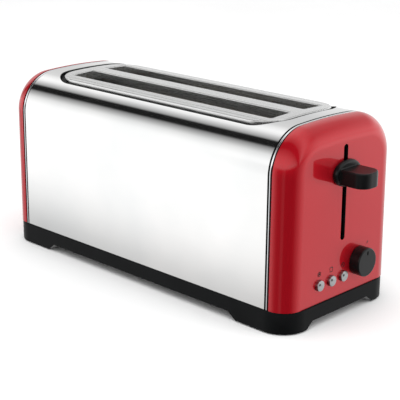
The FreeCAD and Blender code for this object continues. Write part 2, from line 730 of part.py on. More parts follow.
def chassis_plate(label, sign):
    """An upright sheet at one end of the slots, with feet, rack slots and room for the tray."""
    def along(low, high):
        return (low, high) if sign > 0 else ("-(%s)" % high, "-(%s)" % low)

    parts = [box(label + "_sheet", along("chassis_x", "chassis_outer"),
                 ("-chassis_half_width", "chassis_half_width"), ("base_floor", "chassis_top"))]
    tools = []
    for n, side in enumerate((-1, 1)):
        mark = "-" if side < 0 else ""
        inner, outer = "chassis_half_width - flange_width", "chassis_half_width"
        across = (inner, outer) if side > 0 else ("-(%s)" % outer, "-(%s)" % inner)
        parts.append(box("%s_flange_%d" % (label, n),
                         along("chassis_outer", "chassis_outer + flange_length"),
                         across, ("base_floor", "base_floor + chassis_sheet")))
        tools.append(box("%s_rack_slot_%d" % (label, n),
                         along("chassis_x - cut_margin", "chassis_outer + cut_margin"),
                         ("%sslot_middle - rack_sheet / 2 - rack_play" % mark,
                          "%sslot_middle + rack_sheet / 2 + rack_play" % mark),
                         ("rack_bottom - travel_down - rack_play",
                          "rack_bottom + rack_height + travel_up + rack_play")))
        middle = "(chassis_outer + flange_length / 2)"
        tools.append(rod("%s_flange_hole_%d" % (label, n), "z",
                         (middle if sign > 0 else "-" + middle,
                          "%s(chassis_half_width - flange_width / 2)" % mark, "base_bottom"),
                         "screw_radius", "2 * base_wall + base_floor"))
    tools.append(box(label + "_tray_room", along("chassis_x - cut_margin", "chassis_outer + cut_margin"),
                     ("-tray_half_width - tray_room", "tray_half_width + tray_room"),
                     ("base_floor - cut_margin", "tray_low + tray_height + tray_room")))
    space = box(label + "_above_base", along("chassis_x - cut_margin", "chassis_outer + cut_margin"),
                ("-body_half_width", "body_half_width"), ("base_top", "body_top"))
    body_inside = bar_of_body(label + "_body_inside", "chassis_clearance", "-body_half_length",
                              "body_half_length")
    tools.append(less(label + "_body_limit", space, [body_inside]))
    return less(label + "_cut", joined(label + "_folded", parts), tools)


def make_chassis():
    piece(chassis_plate("front_chassis", 1), "front_chassis_plate")
    piece(chassis_plate("rear_chassis", -1), "rear_chassis_plate")
    reach = ("-(chassis_x)", "chassis_x")
    for label, y in (("left", "-reflector_y"), ("right", "reflector_y")):
        across = ("%s - reflector_sheet / 2" % y, "%s + reflector_sheet / 2" % y)
        piece(box(label + "_reflector_sheet", reach, across, ("works_bottom", "chassis_top")),
              label + "_reflector")


def make_heaters():
    """Three mica cards between the chassis plates, with flat resistance ribbon on the bread's side."""
    cards = (("left", "-card_y", (1,)), ("centre", "0", (-1, 1)), ("right", "card_y", (-1,)))
    for label, y, sides in cards:
        piece(box(label + "_card", ("-(chassis_x)", "chassis_x"),
                  ("%s - card_sheet / 2" % y, "%s + card_sheet / 2" % y), ("card_bottom", "card_top")),
              label + "_heater_card")
        ribbons = []
        for side in sides:
            near = "%s + %d * card_sheet / 2" % (y, side)
            far = "%s + %d * ribbon_sheet" % (near, side)
            across = (near, far) if side > 0 else (far, near)
            for row in range(int(number("ribbon_count"))):
                z = "card_bottom + %s * (card_top - card_bottom) / ribbon_count" % (row + 0.5)
                ribbons.append(box("%s_ribbon_%d_%d" % (label, side + 1, row),
                                   ("-ribbon_half_length", "ribbon_half_length"), across,
                                   ("%s - ribbon_width / 2" % z, "%s + ribbon_width / 2" % z)))
        piece(joined(label + "_ribbons", ribbons), label + "_heater_ribbon")


def guard_grid(name, y):
    """A wire grid that keeps the bread off a heater card: two rails and upright wires."""
    reach = "chassis_x"
    rails = [rod("%s_rail_%d" % (name, n), "x", ("-(%s)" % reach, y, z), "guard_rail / 2",
                 "2 * (%s)" % reach)
             for n, z in enumerate(("card_bottom + guard_rail / 2", "chassis_top - guard_rail / 2"))]
    wires = []
    count = int(number("guard_count"))
    for n in range(count):
        x = "slot_half_length * %s" % (2 * (n + 0.5) / count - 1)
        wires.append(rod("%s_wire_%d" % (name, n), "z", (x, y, "card_bottom + guard_rail / 2"),
                         "guard_wire / 2", "chassis_top - card_bottom - guard_rail"))
    return joined(name + "_wires", rails + wires)


def make_guards():
    for label, sign in (("left", "-"), ("right", "")):
        for side, y in (("inner", "guard_inner"), ("outer", "guard_outer")):
            name = "%s_%s_guard" % (label, side)
            piece(guard_grid(name, "%s(%s)" % (sign, y)), name)


def make_guides():
    """Two upright rods between the base and a bridge on the front chassis plate, and their springs."""
    bridge = box("bridge_sheet_block", ("chassis_outer", "chassis_outer + bridge_depth"),
                 ("-rod_y - rod_radius - sleeve_radius", "rod_y + rod_radius + sleeve_radius"),
                 ("chassis_top - bridge_sheet", "chassis_top"))
    piece(bridge, "rod_bridge")
    rods = [rod("guide_rod_%d" % n, "z", ("rod_x", y, "base_floor"), "rod_radius",
                "chassis_top - bridge_sheet - base_floor") for n, y in enumerate(("-rod_y", "rod_y"))]
    piece(joined("rods", rods), "guide_rods")
    for label, y in (("left", "-rod_y"), ("right", "rod_y")):
        helix = doc.addObject("Part::Helix", label + "_spring_line")
        place(helix, ("rod_x", y, "base_floor + spring_wire"))
        bind(helix, Radius="spring_radius", Pitch="spring_pitch",
             Height="carriage_bottom - base_floor - 2 * spring_wire")
        wire = doc.addObject("Part::Circle", label + "_spring_wire")
        wire.Placement = FreeCAD.Placement(FreeCAD.Vector(), FreeCAD.Rotation(FreeCAD.Vector(1, 0, 0), 90))
        place(wire, ("rod_x + spring_radius", y, "base_floor + spring_wire"))
        bind(wire, Radius="spring_wire")
        coil = doc.addObject("Part::Sweep", label + "_spring_coil")
        coil.Sections = [wire]
        coil.Spine = helix
        coil.Solid = True
        coil.Frenet = True
        piece(coil, label + "_return_spring")


def make_carriage():
    """The bracket that slides on the rods, the two bread racks, the lever arm and the keeper."""
    front = "carriage_x + carriage_plate"
    low, high = "carriage_bottom", "carriage_bottom + carriage_height"
    parts = [
        box("carriage_sheet", ("carriage_x", front),
            ("-carriage_half_width", "carriage_half_width"), (low, high)),
        box("carriage_riser", ("carriage_x", front), ("-riser_half_width", "riser_half_width"),
            (low, "lever_z + arm_height / 2")),
        box("carriage_foot", ("carriage_x", "rod_x + rod_radius"),
            ("-keeper_half_width", "keeper_half_width"),
            (low, low + " + carriage_plate")),
    ]
    bores = []
    for n, y in enumerate(("-rod_y", "rod_y")):
        parts.append(rod("carriage_sleeve_%d" % n, "z", ("rod_x", y, low), "sleeve_radius",
                         "carriage_height"))
        parts.append(box("carriage_web_%d" % n, (front, "rod_x"),
                         (y + " - carriage_plate", y + " + carriage_plate"), (low, high)))
        bores.append(rod("carriage_bore_%d" % n, "z", ("rod_x", y, low + " - cut_margin"),
                         "rod_radius + running_gap",
                         "carriage_height + 2 * cut_margin"))
    piece(less("carriage", joined("carriage_solid", parts), bores), "carriage_bracket")
    piece(box("arm", (front, "cap_face + lever_gap + arm_engagement"), ("-arm_sheet / 2", "arm_sheet / 2"),
              ("lever_z - arm_height / 2", "lever_z + arm_height / 2")), "lever_arm")
    piece(box("keeper", ("carriage_x", "rod_x + rod_radius"), ("-keeper_half_width", "keeper_half_width"),
              (low + " - keeper_sheet", low)), "keeper_plate")


def bread_rack(name, y):
    """A rail along one slot with cross tines that carry the slices."""
    rail = box(name + "_rail", ("-(carriage_x)", "carriage_x"),
               (y + " - rack_sheet / 2", y + " + rack_sheet / 2"),
               ("rack_bottom", "rack_bottom + rack_height"))
    tines = []
    count = int(number("guard_count")) + 1
    for n in range(count):
        x = "(slot_half_length - rack_height) * %s" % (2 * n / (count - 1) - 1)
        tines.append(box("%s_tine_%d" % (name, n), (x + " - tine_length / 2", x + " + tine_length / 2"),
                         (y + " - tine_width / 2", y + " + tine_width / 2"),
                         ("rack_bottom + rack_height - tine_height",
                          "rack_bottom + rack_height + tine_height")))
    return joined(name + "_solid", [rail] + tines)


def make_racks():
    piece(bread_rack("left_rack", "-(slot_middle)"), "left_bread_rack")
    piece(bread_rack("right_rack", "(slot_middle)"), "right_bread_rack")


def make_magnet():
    """The electromagnet that holds the keeper, and so the carriage, down while the bread toasts."""
    start = "rod_x - core_length / 2"
    end = "rod_x + core_length / 2"
    half = "keeper_half_width"
    core = box("core", (start, end), ("-" + half, half),
               ("base_floor", "carriage_bottom - keeper_sheet - travel_down - magnet_gap"))
    piece(core, "magnet_core")
    coil = box("coil", (start + " - coil_wall", end + " + coil_wall"),
               ("-%s - coil_wall" % half, half + " + coil_wall"), ("coil_bottom", "coil_top"))
    space = box("coil_space", (start, end), ("-" + half, half),
                ("coil_bottom - cut_margin", "coil_top + cut_margin"))
    piece(less("coil_cut", coil, [space]), "magnet_coil")


def lever_form():
    """The lever's oval boss against the cap and the flat paddle that the finger presses."""
    start = "cap_face + lever_gap"
    boss = new_body("lever_boss")
    outline = new_sketch(boss, "boss_outline", "YZ_Plane", start)
    bind(outline, AttachmentOffset__Base__y="lever_z")
    rounded_rectangle(outline, "boss_width / 2", "boss_height / 2", "boss_height / 2 - lever_gap",
                      (number("boss_width") / 2, number("boss_height") / 2,
                       number("boss_height") / 2 - number("lever_gap")))
    pad = boss.newObject("PartDesign::Pad", "boss_pad")
    pad.Profile = outline
    bind(pad, Length="boss_depth")
    paddle = new_body("lever_paddle")
    plan = new_sketch(paddle, "paddle_outline", "XY_Plane", "lever_z - paddle_drop - paddle_height / 2")
    bind(plan, AttachmentOffset__Base__x="cap_face + (paddle_reach + lever_gap) / 2")
    rounded_rectangle(plan, "(paddle_reach - lever_gap) / 2", "paddle_width / 2", "paddle_radius",
                      (number("paddle_reach") / 2, number("paddle_width") / 2, number("paddle_radius")))
    pad = paddle.newObject("PartDesign::Pad", "paddle_pad")
    pad.Profile = plan
    bind(pad, Length="paddle_height")
    return joined("lever_form", [boss, paddle])


def make_lever():
    socket = box("lever_socket", ("cap_face", "cap_face + lever_gap + arm_engagement"),
                 ("-arm_sheet / 2", "arm_sheet / 2"),
                 ("lever_z - arm_height / 2", "lever_z + arm_height / 2"))
    piece(less("lever", lever_form(), [socket]), "lever_knob")


def make_board():
    """The upright control board with what stands on it."""
    piece(box("board", ("board_x", "board_face"), ("-board_half_width", "board_half_width"),
              ("base_floor", "board_top")), "control_board")
    at = ("knob_y", "knob_z")
    can = rod("pot_can", "x", ("board_face",) + at, "pot_radius", "pot_depth")
    bushing = rod("pot_bushing", "x", ("board_face + pot_depth",) + at, "shaft_radius + bushing_wall",
                  "bushing_length")
    bore = rod("pot_bore", "x", ("board_face + board_sheet",) + at, "shaft_radius + running_gap",
               "pot_depth + 2 * bushing_length")
    piece(less("pot", joined("pot_solid", [can, bushing]), [bore]), "potentiometer")
    switches = [box("switch_%d" % n, ("board_face", "board_face + switch_height"),
                    (button_place(n) + " - switch_half", button_place(n) + " + switch_half"),
                    ("button_z - switch_half", "button_z + switch_half")) for n in range(3)]
    piece(joined("switches", switches), "push_switches")
    relay = box("relay_block", ("board_x - relay_depth", "board_x"), ("parts_y - relay_width / 2",
                "parts_y + relay_width / 2"), ("parts_z - relay_height / 2", "parts_z + relay_height / 2"))
    piece(relay, "relay")
    piece(rod("capacitor_can", "x", ("board_x - capacitor_length", "-parts_y", "parts_z"),
              "capacitor_radius",
              "capacitor_length"), "capacitor")


def make_knob():
    """The browning knob on its shaft."""
    at = ("knob_y", "knob_z")
    shaft_start = "board_face + board_sheet + switch_play"
    shaft_end = "cap_face + knob_proud - knob_skin"
    disc = rod("knob_disc", "x", ("cap_face + knob_gap",) + at, "knob_radius", "knob_proud - knob_gap")
    bore = rod("knob_bore", "x", ("cap_face",) + at, "shaft_radius", "knob_proud - knob_skin")
    piece(less("knob", disc, [bore]), "browning_knob")
    piece(rod("knob_spindle", "x", (shaft_start,) + at, "shaft_radius",
              "%s - (%s)" % (shaft_end, shaft_start)), "knob_shaft")


def make_buttons():
    """Three push buttons: a cap through the end cap, a flange behind it and a stem to the switch."""
    for n, label in enumerate(("defrost", "reheat", "cancel")):
        at = (button_place(n), "button_z")
        back = "flange_front - flange_sheet"
        stem_start = "board_face + switch_height + button_travel + switch_play"
        parts = [
            rod(label + "_cap", "x", (back,) + at, "button_radius",
                "cap_face + button_proud - (%s)" % back),
            rod(label + "_flange", "x", (back,) + at, "button_flange", "flange_sheet"),
            rod(label + "_stem", "x", (stem_start,) + at, "stem_radius", "%s - (%s)" % (back, stem_start)),
        ]
        piece(joined(label + "_solid", parts), label + "_button")


def check_pieces():
    """Stop if any object failed or any finished piece isn't sound."""
    doc.recompute()
    for thing in doc.Objects:
        if "Invalid" in thing.State or "Error" in thing.State:
            raise RuntimeError("%s could not be made: %s" % (thing.Name, thing.State))
    for thing in pieces:
        if thing.Shape.isNull() or not thing.Shape.isValid() or not thing.Shape.Solids:
            raise RuntimeError("%s is not a sound solid" % thing.Label)


def write_pieces():
    os.makedirs("parts", exist_ok=True)
    for thing in pieces:
        thing.Shape.exportStep("parts/%s.step" % thing.Label)
        print(thing.Label, round(thing.Shape.Volume))


fill_sheet()
make_base()
make_foot_pads()
make_screws()
make_gland()
make_crumb_tray()
make_body()
make_top_plate()
make_top_seal()
make_caps()
make_trims()
make_chassis()
make_heaters()
make_guards()
make_guides()
make_magnet()
make_carriage()
make_racks()
make_lever()
make_board()
make_knob()
make_buttons()
check_pieces()
write_pieces()
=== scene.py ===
# %% [markdown]
# # A long-slot toaster, dressed
#
# The engineering model gives every part its size and place. This lesson loads that model as a fixed
# frame and gives the toaster its looks: a polished steel body, red lacquered end caps, a black moulded
# base, a lever, a knob and three buttons. Lengths are metres, +X points to the control end, +Z is up.

# %% Load the frame
import math

import bpy
from mathutils import Matrix, Vector


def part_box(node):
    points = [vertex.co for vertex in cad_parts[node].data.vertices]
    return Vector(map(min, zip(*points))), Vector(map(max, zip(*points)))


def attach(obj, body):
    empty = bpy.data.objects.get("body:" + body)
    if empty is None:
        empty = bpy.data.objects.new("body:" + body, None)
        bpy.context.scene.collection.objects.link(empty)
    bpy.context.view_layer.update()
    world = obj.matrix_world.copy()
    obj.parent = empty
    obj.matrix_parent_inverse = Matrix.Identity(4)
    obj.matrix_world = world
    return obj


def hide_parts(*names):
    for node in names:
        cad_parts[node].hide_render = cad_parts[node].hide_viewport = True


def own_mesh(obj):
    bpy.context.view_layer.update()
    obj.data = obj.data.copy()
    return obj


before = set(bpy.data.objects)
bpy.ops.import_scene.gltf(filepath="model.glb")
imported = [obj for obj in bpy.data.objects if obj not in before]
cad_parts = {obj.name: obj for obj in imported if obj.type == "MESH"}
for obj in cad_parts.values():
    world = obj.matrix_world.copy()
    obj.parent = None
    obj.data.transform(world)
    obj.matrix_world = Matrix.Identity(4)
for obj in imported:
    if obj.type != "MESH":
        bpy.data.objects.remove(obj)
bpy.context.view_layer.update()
MM = 0.001
NEAR = MM / 100

# %% [markdown]
# ## Camera
#
# The camera comes first, so that each later piece can be judged in the finished view. It is a long lens
# from the control end's left front corner, a little above the object. A camera looks down its own -Z, so
# it is turned about Z by the azimuth and tipped back by the elevation.

# %% Camera
AZIMUTH = math.radians(44.366)
ELEVATION = math.radians(17.531)
ROLL = math.radians(0.214)
DISTANCE = 1.16
AIM = Vector((-0.00699, 0.00615, 0.0682))
LENS = 103.8
SENSOR = 36
FAR_ENOUGH = 50

turn = (
    Matrix.Rotation(AZIMUTH, 4, "Z")
    @ Matrix.Rotation(math.pi / 2 - ELEVATION, 4, "X")
    @ Matrix.Rotation(ROLL, 4, "Z")
)
view_data = bpy.data.cameras.new("view")
view_data.lens = LENS
view_data.sensor_width = SENSOR
view_data.clip_end = FAR_ENOUGH
camera = bpy.data.objects.new("view", view_data)
camera.matrix_world = Matrix.Translation(AIM + turn.to_3x3() @ Vector((0, 0, DISTANCE))) @ turn
bpy.context.collection.objects.link(camera)
bpy.context.scene.camera = camera
bpy.context.scene.view_settings.view_transform = "Standard"
print("camera at", tuple(round(v, 3) for v in camera.matrix_world.translation))

# %% [markdown]
# ## Sizes read from the frame
#
# Each dressed piece takes its place from the engineering part it stands for, so nothing is fitted by eye.
# The body's section is a leaning side, a round shoulder and a slightly domed top.

# %% Sizes
wrap_low, wrap_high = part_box("steel_wrap")
cap_low, cap_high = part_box("front_cap")
rear_low, rear_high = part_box("rear_cap")
base_low, base_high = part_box("base_housing")
plate_low, plate_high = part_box("top_plate")
lever_low, lever_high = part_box("lever_knob")
knob_low, knob_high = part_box("browning_knob")

MIDDLE_X = (wrap_low[0] + wrap_high[0]) / 2
BODY_HALF_WIDTH = wrap_high[1]
SHOULDER_HALF_WIDTH = BODY_HALF_WIDTH - MM
SHOULDER_RADIUS = 40 * MM
DOME_RADIUS = 600 * MM
SHEET = 0.8 * MM
BODY_BOTTOM = wrap_low[2]
BODY_TOP = wrap_high[2]
CAP_WALL = 2.5 * MM
CAP_ROUNDING = 19.5 * MM
print("body", round(BODY_HALF_WIDTH * 2, 4), "wide, top at", round(BODY_TOP, 4))

# %% [markdown]
# ## Nodes and colours
#
# One small function adds a shader node with its settings and its links, and one turns a colour written as
# a painter's hex value into the linear light that shaders work in. A finish is a Principled shader whose
# even values sit on its own sockets, so that they survive export. Only what varies over a surface is linked.

# %% Node helpers
def linear(code):
    """An sRGB hex colour as linear RGBA."""
    parts = [int(code[n:n + 2], 16) / 255 for n in (1, 3, 5)]
    return tuple(c / 12.92 if c <= 0.04045 else ((c + 0.055) / 1.055) ** 2.4 for c in parts) + (1.0,)


def set_inputs(tree, node, inputs):
    """Sets a node's inputs to values, or links them to a socket or to a node's first output in use."""
    for name, value in inputs.items():
        if isinstance(value, bpy.types.Node):
            value = next(output for output in value.outputs if output.enabled)
        if isinstance(value, bpy.types.NodeSocket):
            tree.links.new(value, node.inputs[name])
        else:
            node.inputs[name].default_value = value


def add(tree, kind, inputs=None, stops=(), **settings):
    """A node with its settings, its inputs and, on a ramp, the places and colours of its stops."""
    made = tree.nodes.new(kind)
    for name, value in settings.items():
        setattr(made, name, value)
    for n, (place, colour) in enumerate(stops):
        marks = made.color_ramp.elements
        mark = marks[0] if n == 0 else marks[len(marks) - 1] if n == len(stops) - 1 else marks.new(place)
        mark.position, mark.color = place, colour
    set_inputs(tree, made, inputs or {})
    return made


def tones(dark, light):
    """The stops of a ramp between two hex colours, set in from its ends to suit the range of a noise."""
    return (0.3, linear(dark)), (0.7, linear(light))


def start_finish(name, **even):
    """A new material whose Principled shader has its even values set.

    Returns the material, its tree, the shader and the piece's own coordinates. Scales are per metre.
    """
    finish = bpy.data.materials.new(name)
    finish.use_nodes = True
    tree = finish.node_tree
    shader = tree.nodes["Principled BSDF"]
    set_inputs(tree, shader, {socket.replace("_", " "): value for socket, value in even.items()})
    return finish, tree, shader, add(tree, "ShaderNodeTexCoord").outputs["Object"]

# %% [markdown]
# ## Finishes
#
# Every finish starts from what the real material is and how its surface was made. Rolled and polished
# stainless steel is nearly a mirror with a faint grain along the sheet. The lacquer is a metallic red
# under a hard clear coat. Moulded plastic has a fine spark-eroded grain that breaks up its highlight.

# %% Polished stainless steel
def make_polished_stainless():
    """Stainless sheet, rolled and polished: a bright mirror with long, very shallow grain along X."""
    finish, tree, shader, place = start_finish("polished_stainless_steel", Metallic=1.0)
    along = add(tree, "ShaderNodeMapping", {"Vector": place, "Scale": (0.012, 1, 1)})
    grain = add(tree, "ShaderNodeTexNoise", {"Vector": along, "Scale": 2200, "Detail": 3, "Roughness": 0.6})
    haze = add(tree, "ShaderNodeTexNoise", {"Vector": place, "Scale": 9, "Detail": 3})
    rough = add(tree, "ShaderNodeMapRange", {"Value": grain, "To Min": 0.055, "To Max": 0.1})
    hazy = add(tree, "ShaderNodeMapRange", {"Value": haze, "To Min": 0.0, "To Max": 0.03})
    set_inputs(tree, shader, {
        "Base Color": add(tree, "ShaderNodeValToRGB", {"Fac": haze}, tones("#dfe0e0", "#ecebea")),
        "Roughness": add(tree, "ShaderNodeMath", {0: rough, 1: hazy}, operation="ADD"),
        "Normal": add(tree, "ShaderNodeBump", {"Height": grain, "Distance": 0.0000012, "Strength": 0.4})})
    return finish


def make_satin_stainless():
    """The slot plate: the same steel brushed along its length with a fine belt, so its shine is soft."""
    finish, tree, shader, place = start_finish("brushed_stainless_steel", Metallic=1.0)
    along = add(tree, "ShaderNodeMapping", {"Vector": place, "Scale": (0.015, 1, 1)})
    grain = add(tree, "ShaderNodeTexNoise", {"Vector": along, "Scale": 1600, "Detail": 4, "Roughness": 0.65})
    set_inputs(tree, shader, {
        "Base Color": add(tree, "ShaderNodeValToRGB", {"Fac": grain}, tones("#cfd0d0", "#e6e6e5")),
        "Roughness": add(tree, "ShaderNodeMapRange", {"Value": grain, "To Min": 0.2, "To Max": 0.36}),
        "Normal": add(tree, "ShaderNodeBump", {"Height": grain, "Distance": 0.000004, "Strength": 0.5})})
    return finish


def make_bright_chrome():
    """Chromium plate on a thin bead: a cool mirror with hardly any haze."""
    finish, tree, shader, place = start_finish("bright_chrome_plate", Metallic=1.0)
    haze = add(tree, "ShaderNodeTexNoise", {"Vector": place, "Scale": 120})
    set_inputs(tree, shader, {
        "Base Color": add(tree, "ShaderNodeValToRGB", {"Fac": haze}, tones("#e4e6e8", "#f2f3f4")),
        "Roughness": add(tree, "ShaderNodeMapRange", {"Value": haze, "To Min": 0.03, "To Max": 0.09})})
    return finish


# %% Red lacquer
def make_red_lacquer():
    """Sprayed metallic red under clear coat: tiny flakes, a soft sheen below and a sharp one on top."""
    finish, tree, shader, place = start_finish(
        "sprayed_red_metallic_lacquer", Metallic=0.58, Specular_IOR_Level=0.0,
        Coat_Weight=1.0, Coat_Roughness=0.035, Coat_IOR=1.5)
    flakes = add(tree, "ShaderNodeTexVoronoi", {"Vector": place, "Scale": 3200}, feature="F1")
    cloud = add(tree, "ShaderNodeTexNoise", {"Vector": place, "Scale": 14})
    peel = add(tree, "ShaderNodeTexNoise", {"Vector": place, "Scale": 260})
    glints = add(tree, "ShaderNodeMapRange", {
        "Value": flakes, "From Min": 0.1, "From Max": 0.6, "To Min": 0.35, "To Max": 0.65})
    below = add(tree, "ShaderNodeValToRGB", {"Fac": cloud}, tones("#ad0e1b", "#b4121f"))
    set_inputs(tree, shader, {
        "Base Color": add(tree, "ShaderNodeMix", {
            "Factor": glints, "A": below, "B": linear("#be1825")}, data_type="RGBA"),
        "Roughness": add(tree, "ShaderNodeMapRange", {
            "Value": flakes, "From Min": 0.1, "From Max": 0.6, "To Min": 0.3, "To Max": 0.4}),
        "Coat Normal": add(tree, "ShaderNodeBump", {
            "Height": peel, "Distance": 0.000002, "Strength": 0.5})})
    return finish


# %% Plastics and rubber
def make_moulded_plastic(name, dark, light, low, high, grain_per_metre, depth, shine=0.3):
    """Injection-moulded plastic: an even dark colour with a fine eroded grain that takes down its shine."""
    finish, tree, shader, place = start_finish(name, IOR=1.49, Specular_IOR_Level=shine)
    grain = add(tree, "ShaderNodeTexNoise", {
        "Vector": place, "Scale": grain_per_metre, "Detail": 3, "Roughness": 0.6})
    wear = add(tree, "ShaderNodeTexNoise", {"Vector": place, "Scale": 35, "Detail": 3})
    set_inputs(tree, shader, {
        "Base Color": add(tree, "ShaderNodeValToRGB", {"Fac": wear}, tones(dark, light)),
        "Roughness": add(tree, "ShaderNodeMapRange", {"Value": wear, "To Min": low, "To Max": high}),
        "Normal": add(tree, "ShaderNodeBump", {"Height": grain, "Distance": depth, "Strength": 0.6})})
    return finish


# %% Metals and boards inside
def make_plain_metal(name, dark, light, low, high, patch_per_metre, stretch=(1, 1, 1)):
    """Plated, drawn or cast metal with the soft patches and direction that its making left."""
    finish, tree, shader, place = start_finish(name, Metallic=1.0)
    along = add(tree, "ShaderNodeMapping", {"Vector": place, "Scale": stretch})
    patches = add(tree, "ShaderNodeTexNoise", {
        "Vector": along, "Scale": patch_per_metre, "Detail": 4, "Roughness": 0.6})
    set_inputs(tree, shader, {
        "Base Color": add(tree, "ShaderNodeValToRGB", {"Fac": patches}, tones(dark, light)),
        "Roughness": add(tree, "ShaderNodeMapRange", {"Value": patches, "To Min": low, "To Max": high}),
        "Normal": add(tree, "ShaderNodeBump", {"Height": patches, "Distance": 0.00001, "Strength": 0.3})})
    return finish


def make_mica():
    """Pressed mica sheet: pale brown, layered, with bright flecks a millimetre or two across."""
    finish, tree, shader, place = start_finish("pressed_mica_sheet", IOR=1.58)
    flecks = add(tree, "ShaderNodeTexNoise", {"Vector": place, "Scale": 700, "Detail": 5, "Roughness": 0.7})
    layers = add(tree, "ShaderNodeTexNoise", {"Vector": place, "Scale": 60, "Detail": 3})
    share = add(tree, "ShaderNodeMapRange", {"Value": layers, "To Min": 0.2, "To Max": 0.8})
    below = add(tree, "ShaderNodeValToRGB", {"Fac": flecks}, tones("#6b5a41", "#a38e69"))
    set_inputs(tree, shader, {
        "Base Color": add(tree, "ShaderNodeMix", {
            "Factor": share, "A": below, "B": linear("#83704f")}, data_type="RGBA"),
        "Roughness": add(tree, "ShaderNodeMapRange", {"Value": flecks, "To Min": 0.35, "To Max": 0.65}),
        "Normal": add(tree, "ShaderNodeBump", {"Height": flecks, "Distance": 0.00003, "Strength": 0.5})})
    return finish


def make_winding():
    """Enamelled copper wire wound round the core, turns 0.6 mm apart, drawn as shallow bands whose dark half
    is painted shade between the turns.
    """
    finish, tree, shader, place = start_finish("enamelled_copper_winding", Metallic=0.8)
    bands = add(tree, "ShaderNodeTexWave", {
        "Vector": place, "Scale": 520, "Distortion": 0.4}, bands_direction="Z").outputs["Fac"]
    set_inputs(tree, shader, {
        # the ramp's dark stop is painted shade in the grooves between turns, its light stop the copper
        "Base Color": add(tree, "ShaderNodeValToRGB", {"Fac": bands}, tones("#5a2a12", "#b3652f")),
        "Roughness": add(tree, "ShaderNodeMapRange", {"Value": bands, "To Min": 0.2, "To Max": 0.4}),
        "Normal": add(tree, "ShaderNodeBump", {"Height": bands, "Distance": 0.0002, "Strength": 0.8})})
    return finish


FINISH = {
    "polished_steel": make_polished_stainless(),
    "satin_plate": make_satin_stainless(),
    "bright_trim": make_bright_chrome(),
    "red_gloss": make_red_lacquer(),
    # black plastic also paints the shade on the front cap's lever slot walls
    "black_plastic": make_moulded_plastic(
        "moulded_black_abs_and_painted_slot_shade", "#0b0c0d", "#121314", 0.34, 0.5, 1500, 0.00003, shine=0.08),
    "black_gloss": make_moulded_plastic(
        "polished_black_abs", "#0b0c0d", "#121314", 0.24, 0.38, 1800, 0.00001),
    "black_rubber": make_moulded_plastic(
        "moulded_black_rubber", "#151515", "#202020", 0.6, 0.8, 1200, 0.00004),
    "board_laminate": make_moulded_plastic(
        "green_glass_fibre_board", "#12331f", "#1c4a2c", 0.3, 0.5, 900, 0.00002),
    "zinc_steel": make_plain_metal("zinc_plated_sheet_steel", "#7d8082", "#a6a9ab", 0.28, 0.5, 45),
    "steel_wire": make_plain_metal("drawn_steel_wire", "#8b8d8f", "#b4b6b8", 0.22, 0.4, 300, (0.1, 0.1, 1)),
    "nichrome": make_plain_metal("oxidised_nickel_chrome_ribbon", "#4a443f", "#776f66", 0.4, 0.6, 200),
    "magnet_iron": make_plain_metal("laminated_iron", "#4b4d50", "#6c6f72", 0.35, 0.55, 900, (1, 0.02, 0.02)),
    "aluminium_can": make_plain_metal("drawn_aluminium", "#b9bbbd", "#d6d7d8", 0.2, 0.35, 400, (0.05, 1, 1)),
    "silver_button": make_plain_metal("satin_silver_coat", "#a3a5a6", "#bcbdbe", 0.26, 0.36, 500),
    "mica": make_mica(),
    "copper_wire": make_winding(),
}
# this black serves the printed marks, and also paints the dark reflection near each button's upper edge
INK_AND_PAINTED_REFLECTION = make_moulded_plastic("printed_ink_and_painted_reflection", "#0c0c0d", "#141415", 0.45, 0.6, 2500, 0.000004)
print(len(FINISH) + 1, "finishes")

# %% [markdown]
# ## Hands for the workbench
#
# The pieces are made with the same operators as by hand. Operators act on all that is selected, so each
# piece starts with an empty selection, has its place put into its mesh, and lets edit mode pick faces and
# edges by where they are. A finished piece is smoothed by angle, gets weighted normals so that its flat
# faces stay flat in reflections, and takes its finish, its body and the part that it stands for.

# %% Workbench helpers
import bmesh


def take(piece):
    """Makes one object the only selected and active one."""
    bpy.ops.object.select_all(action="DESELECT")
    piece.select_set(True)
    bpy.context.view_layer.objects.active = piece
    return piece


def named(name):
    """Names the primitive that was just added, and puts its place, turn and size into its mesh."""
    piece = bpy.context.object
    piece.name = piece.data.name = name
    bpy.ops.object.transform_apply(location=True, rotation=True, scale=True)
    return piece


def add_block(name, low, high):
    """A cube primitive between two corners."""
    low, high = Vector(low), Vector(high)
    bpy.ops.object.select_all(action="DESELECT")
    bpy.ops.mesh.primitive_cube_add(size=1, location=(low + high) / 2, scale=high - low)
    return named(name)


QUARTER = math.pi / 2
TURNED = {"x": (0, QUARTER, 0), "y": (-QUARTER, 0, 0), "z": (0, 0, 0)}


def add_rod(name, along, centre, radius, length, sides=64):
    """A cylinder primitive along an axis, about its centre."""
    bpy.ops.object.select_all(action="DESELECT")
    bpy.ops.mesh.primitive_cylinder_add(vertices=sides, radius=radius, depth=length, location=centre,
                                        rotation=TURNED[along])
    return named(name)


def edit(piece):
    """Takes a piece into edit mode."""
    take(piece)
    bpy.ops.object.mode_set(mode="EDIT")


def leave():
    """Goes back to object mode."""
    bpy.ops.object.mode_set(mode="OBJECT")


def pick(piece, kind, test):
    """In edit mode, selects only the parts of a kind (FACE, EDGE or VERT) that pass a test."""
    bpy.ops.mesh.select_mode(type=kind)
    bpy.ops.mesh.select_all(action="DESELECT")
    mesh = bmesh.from_edit_mesh(piece.data)
    parts = {"FACE": mesh.faces, "EDGE": mesh.edges, "VERT": mesh.verts}[kind]
    chosen = [part for part in parts if test(part)]
    for part in chosen:
        part.select_set(True)
    bmesh.update_edit_mesh(piece.data)
    return len(chosen)


def centre_of(part):
    """The middle of a face or an edge."""
    return sum((corner.co for corner in part.verts), Vector()) / len(part.verts)


def runs_along(edge, axis):
    """Whether an edge runs along an axis, given as 0, 1 or 2."""
    run = edge.verts[1].co - edge.verts[0].co
    return abs(run[axis]) > 0.999 * run.length


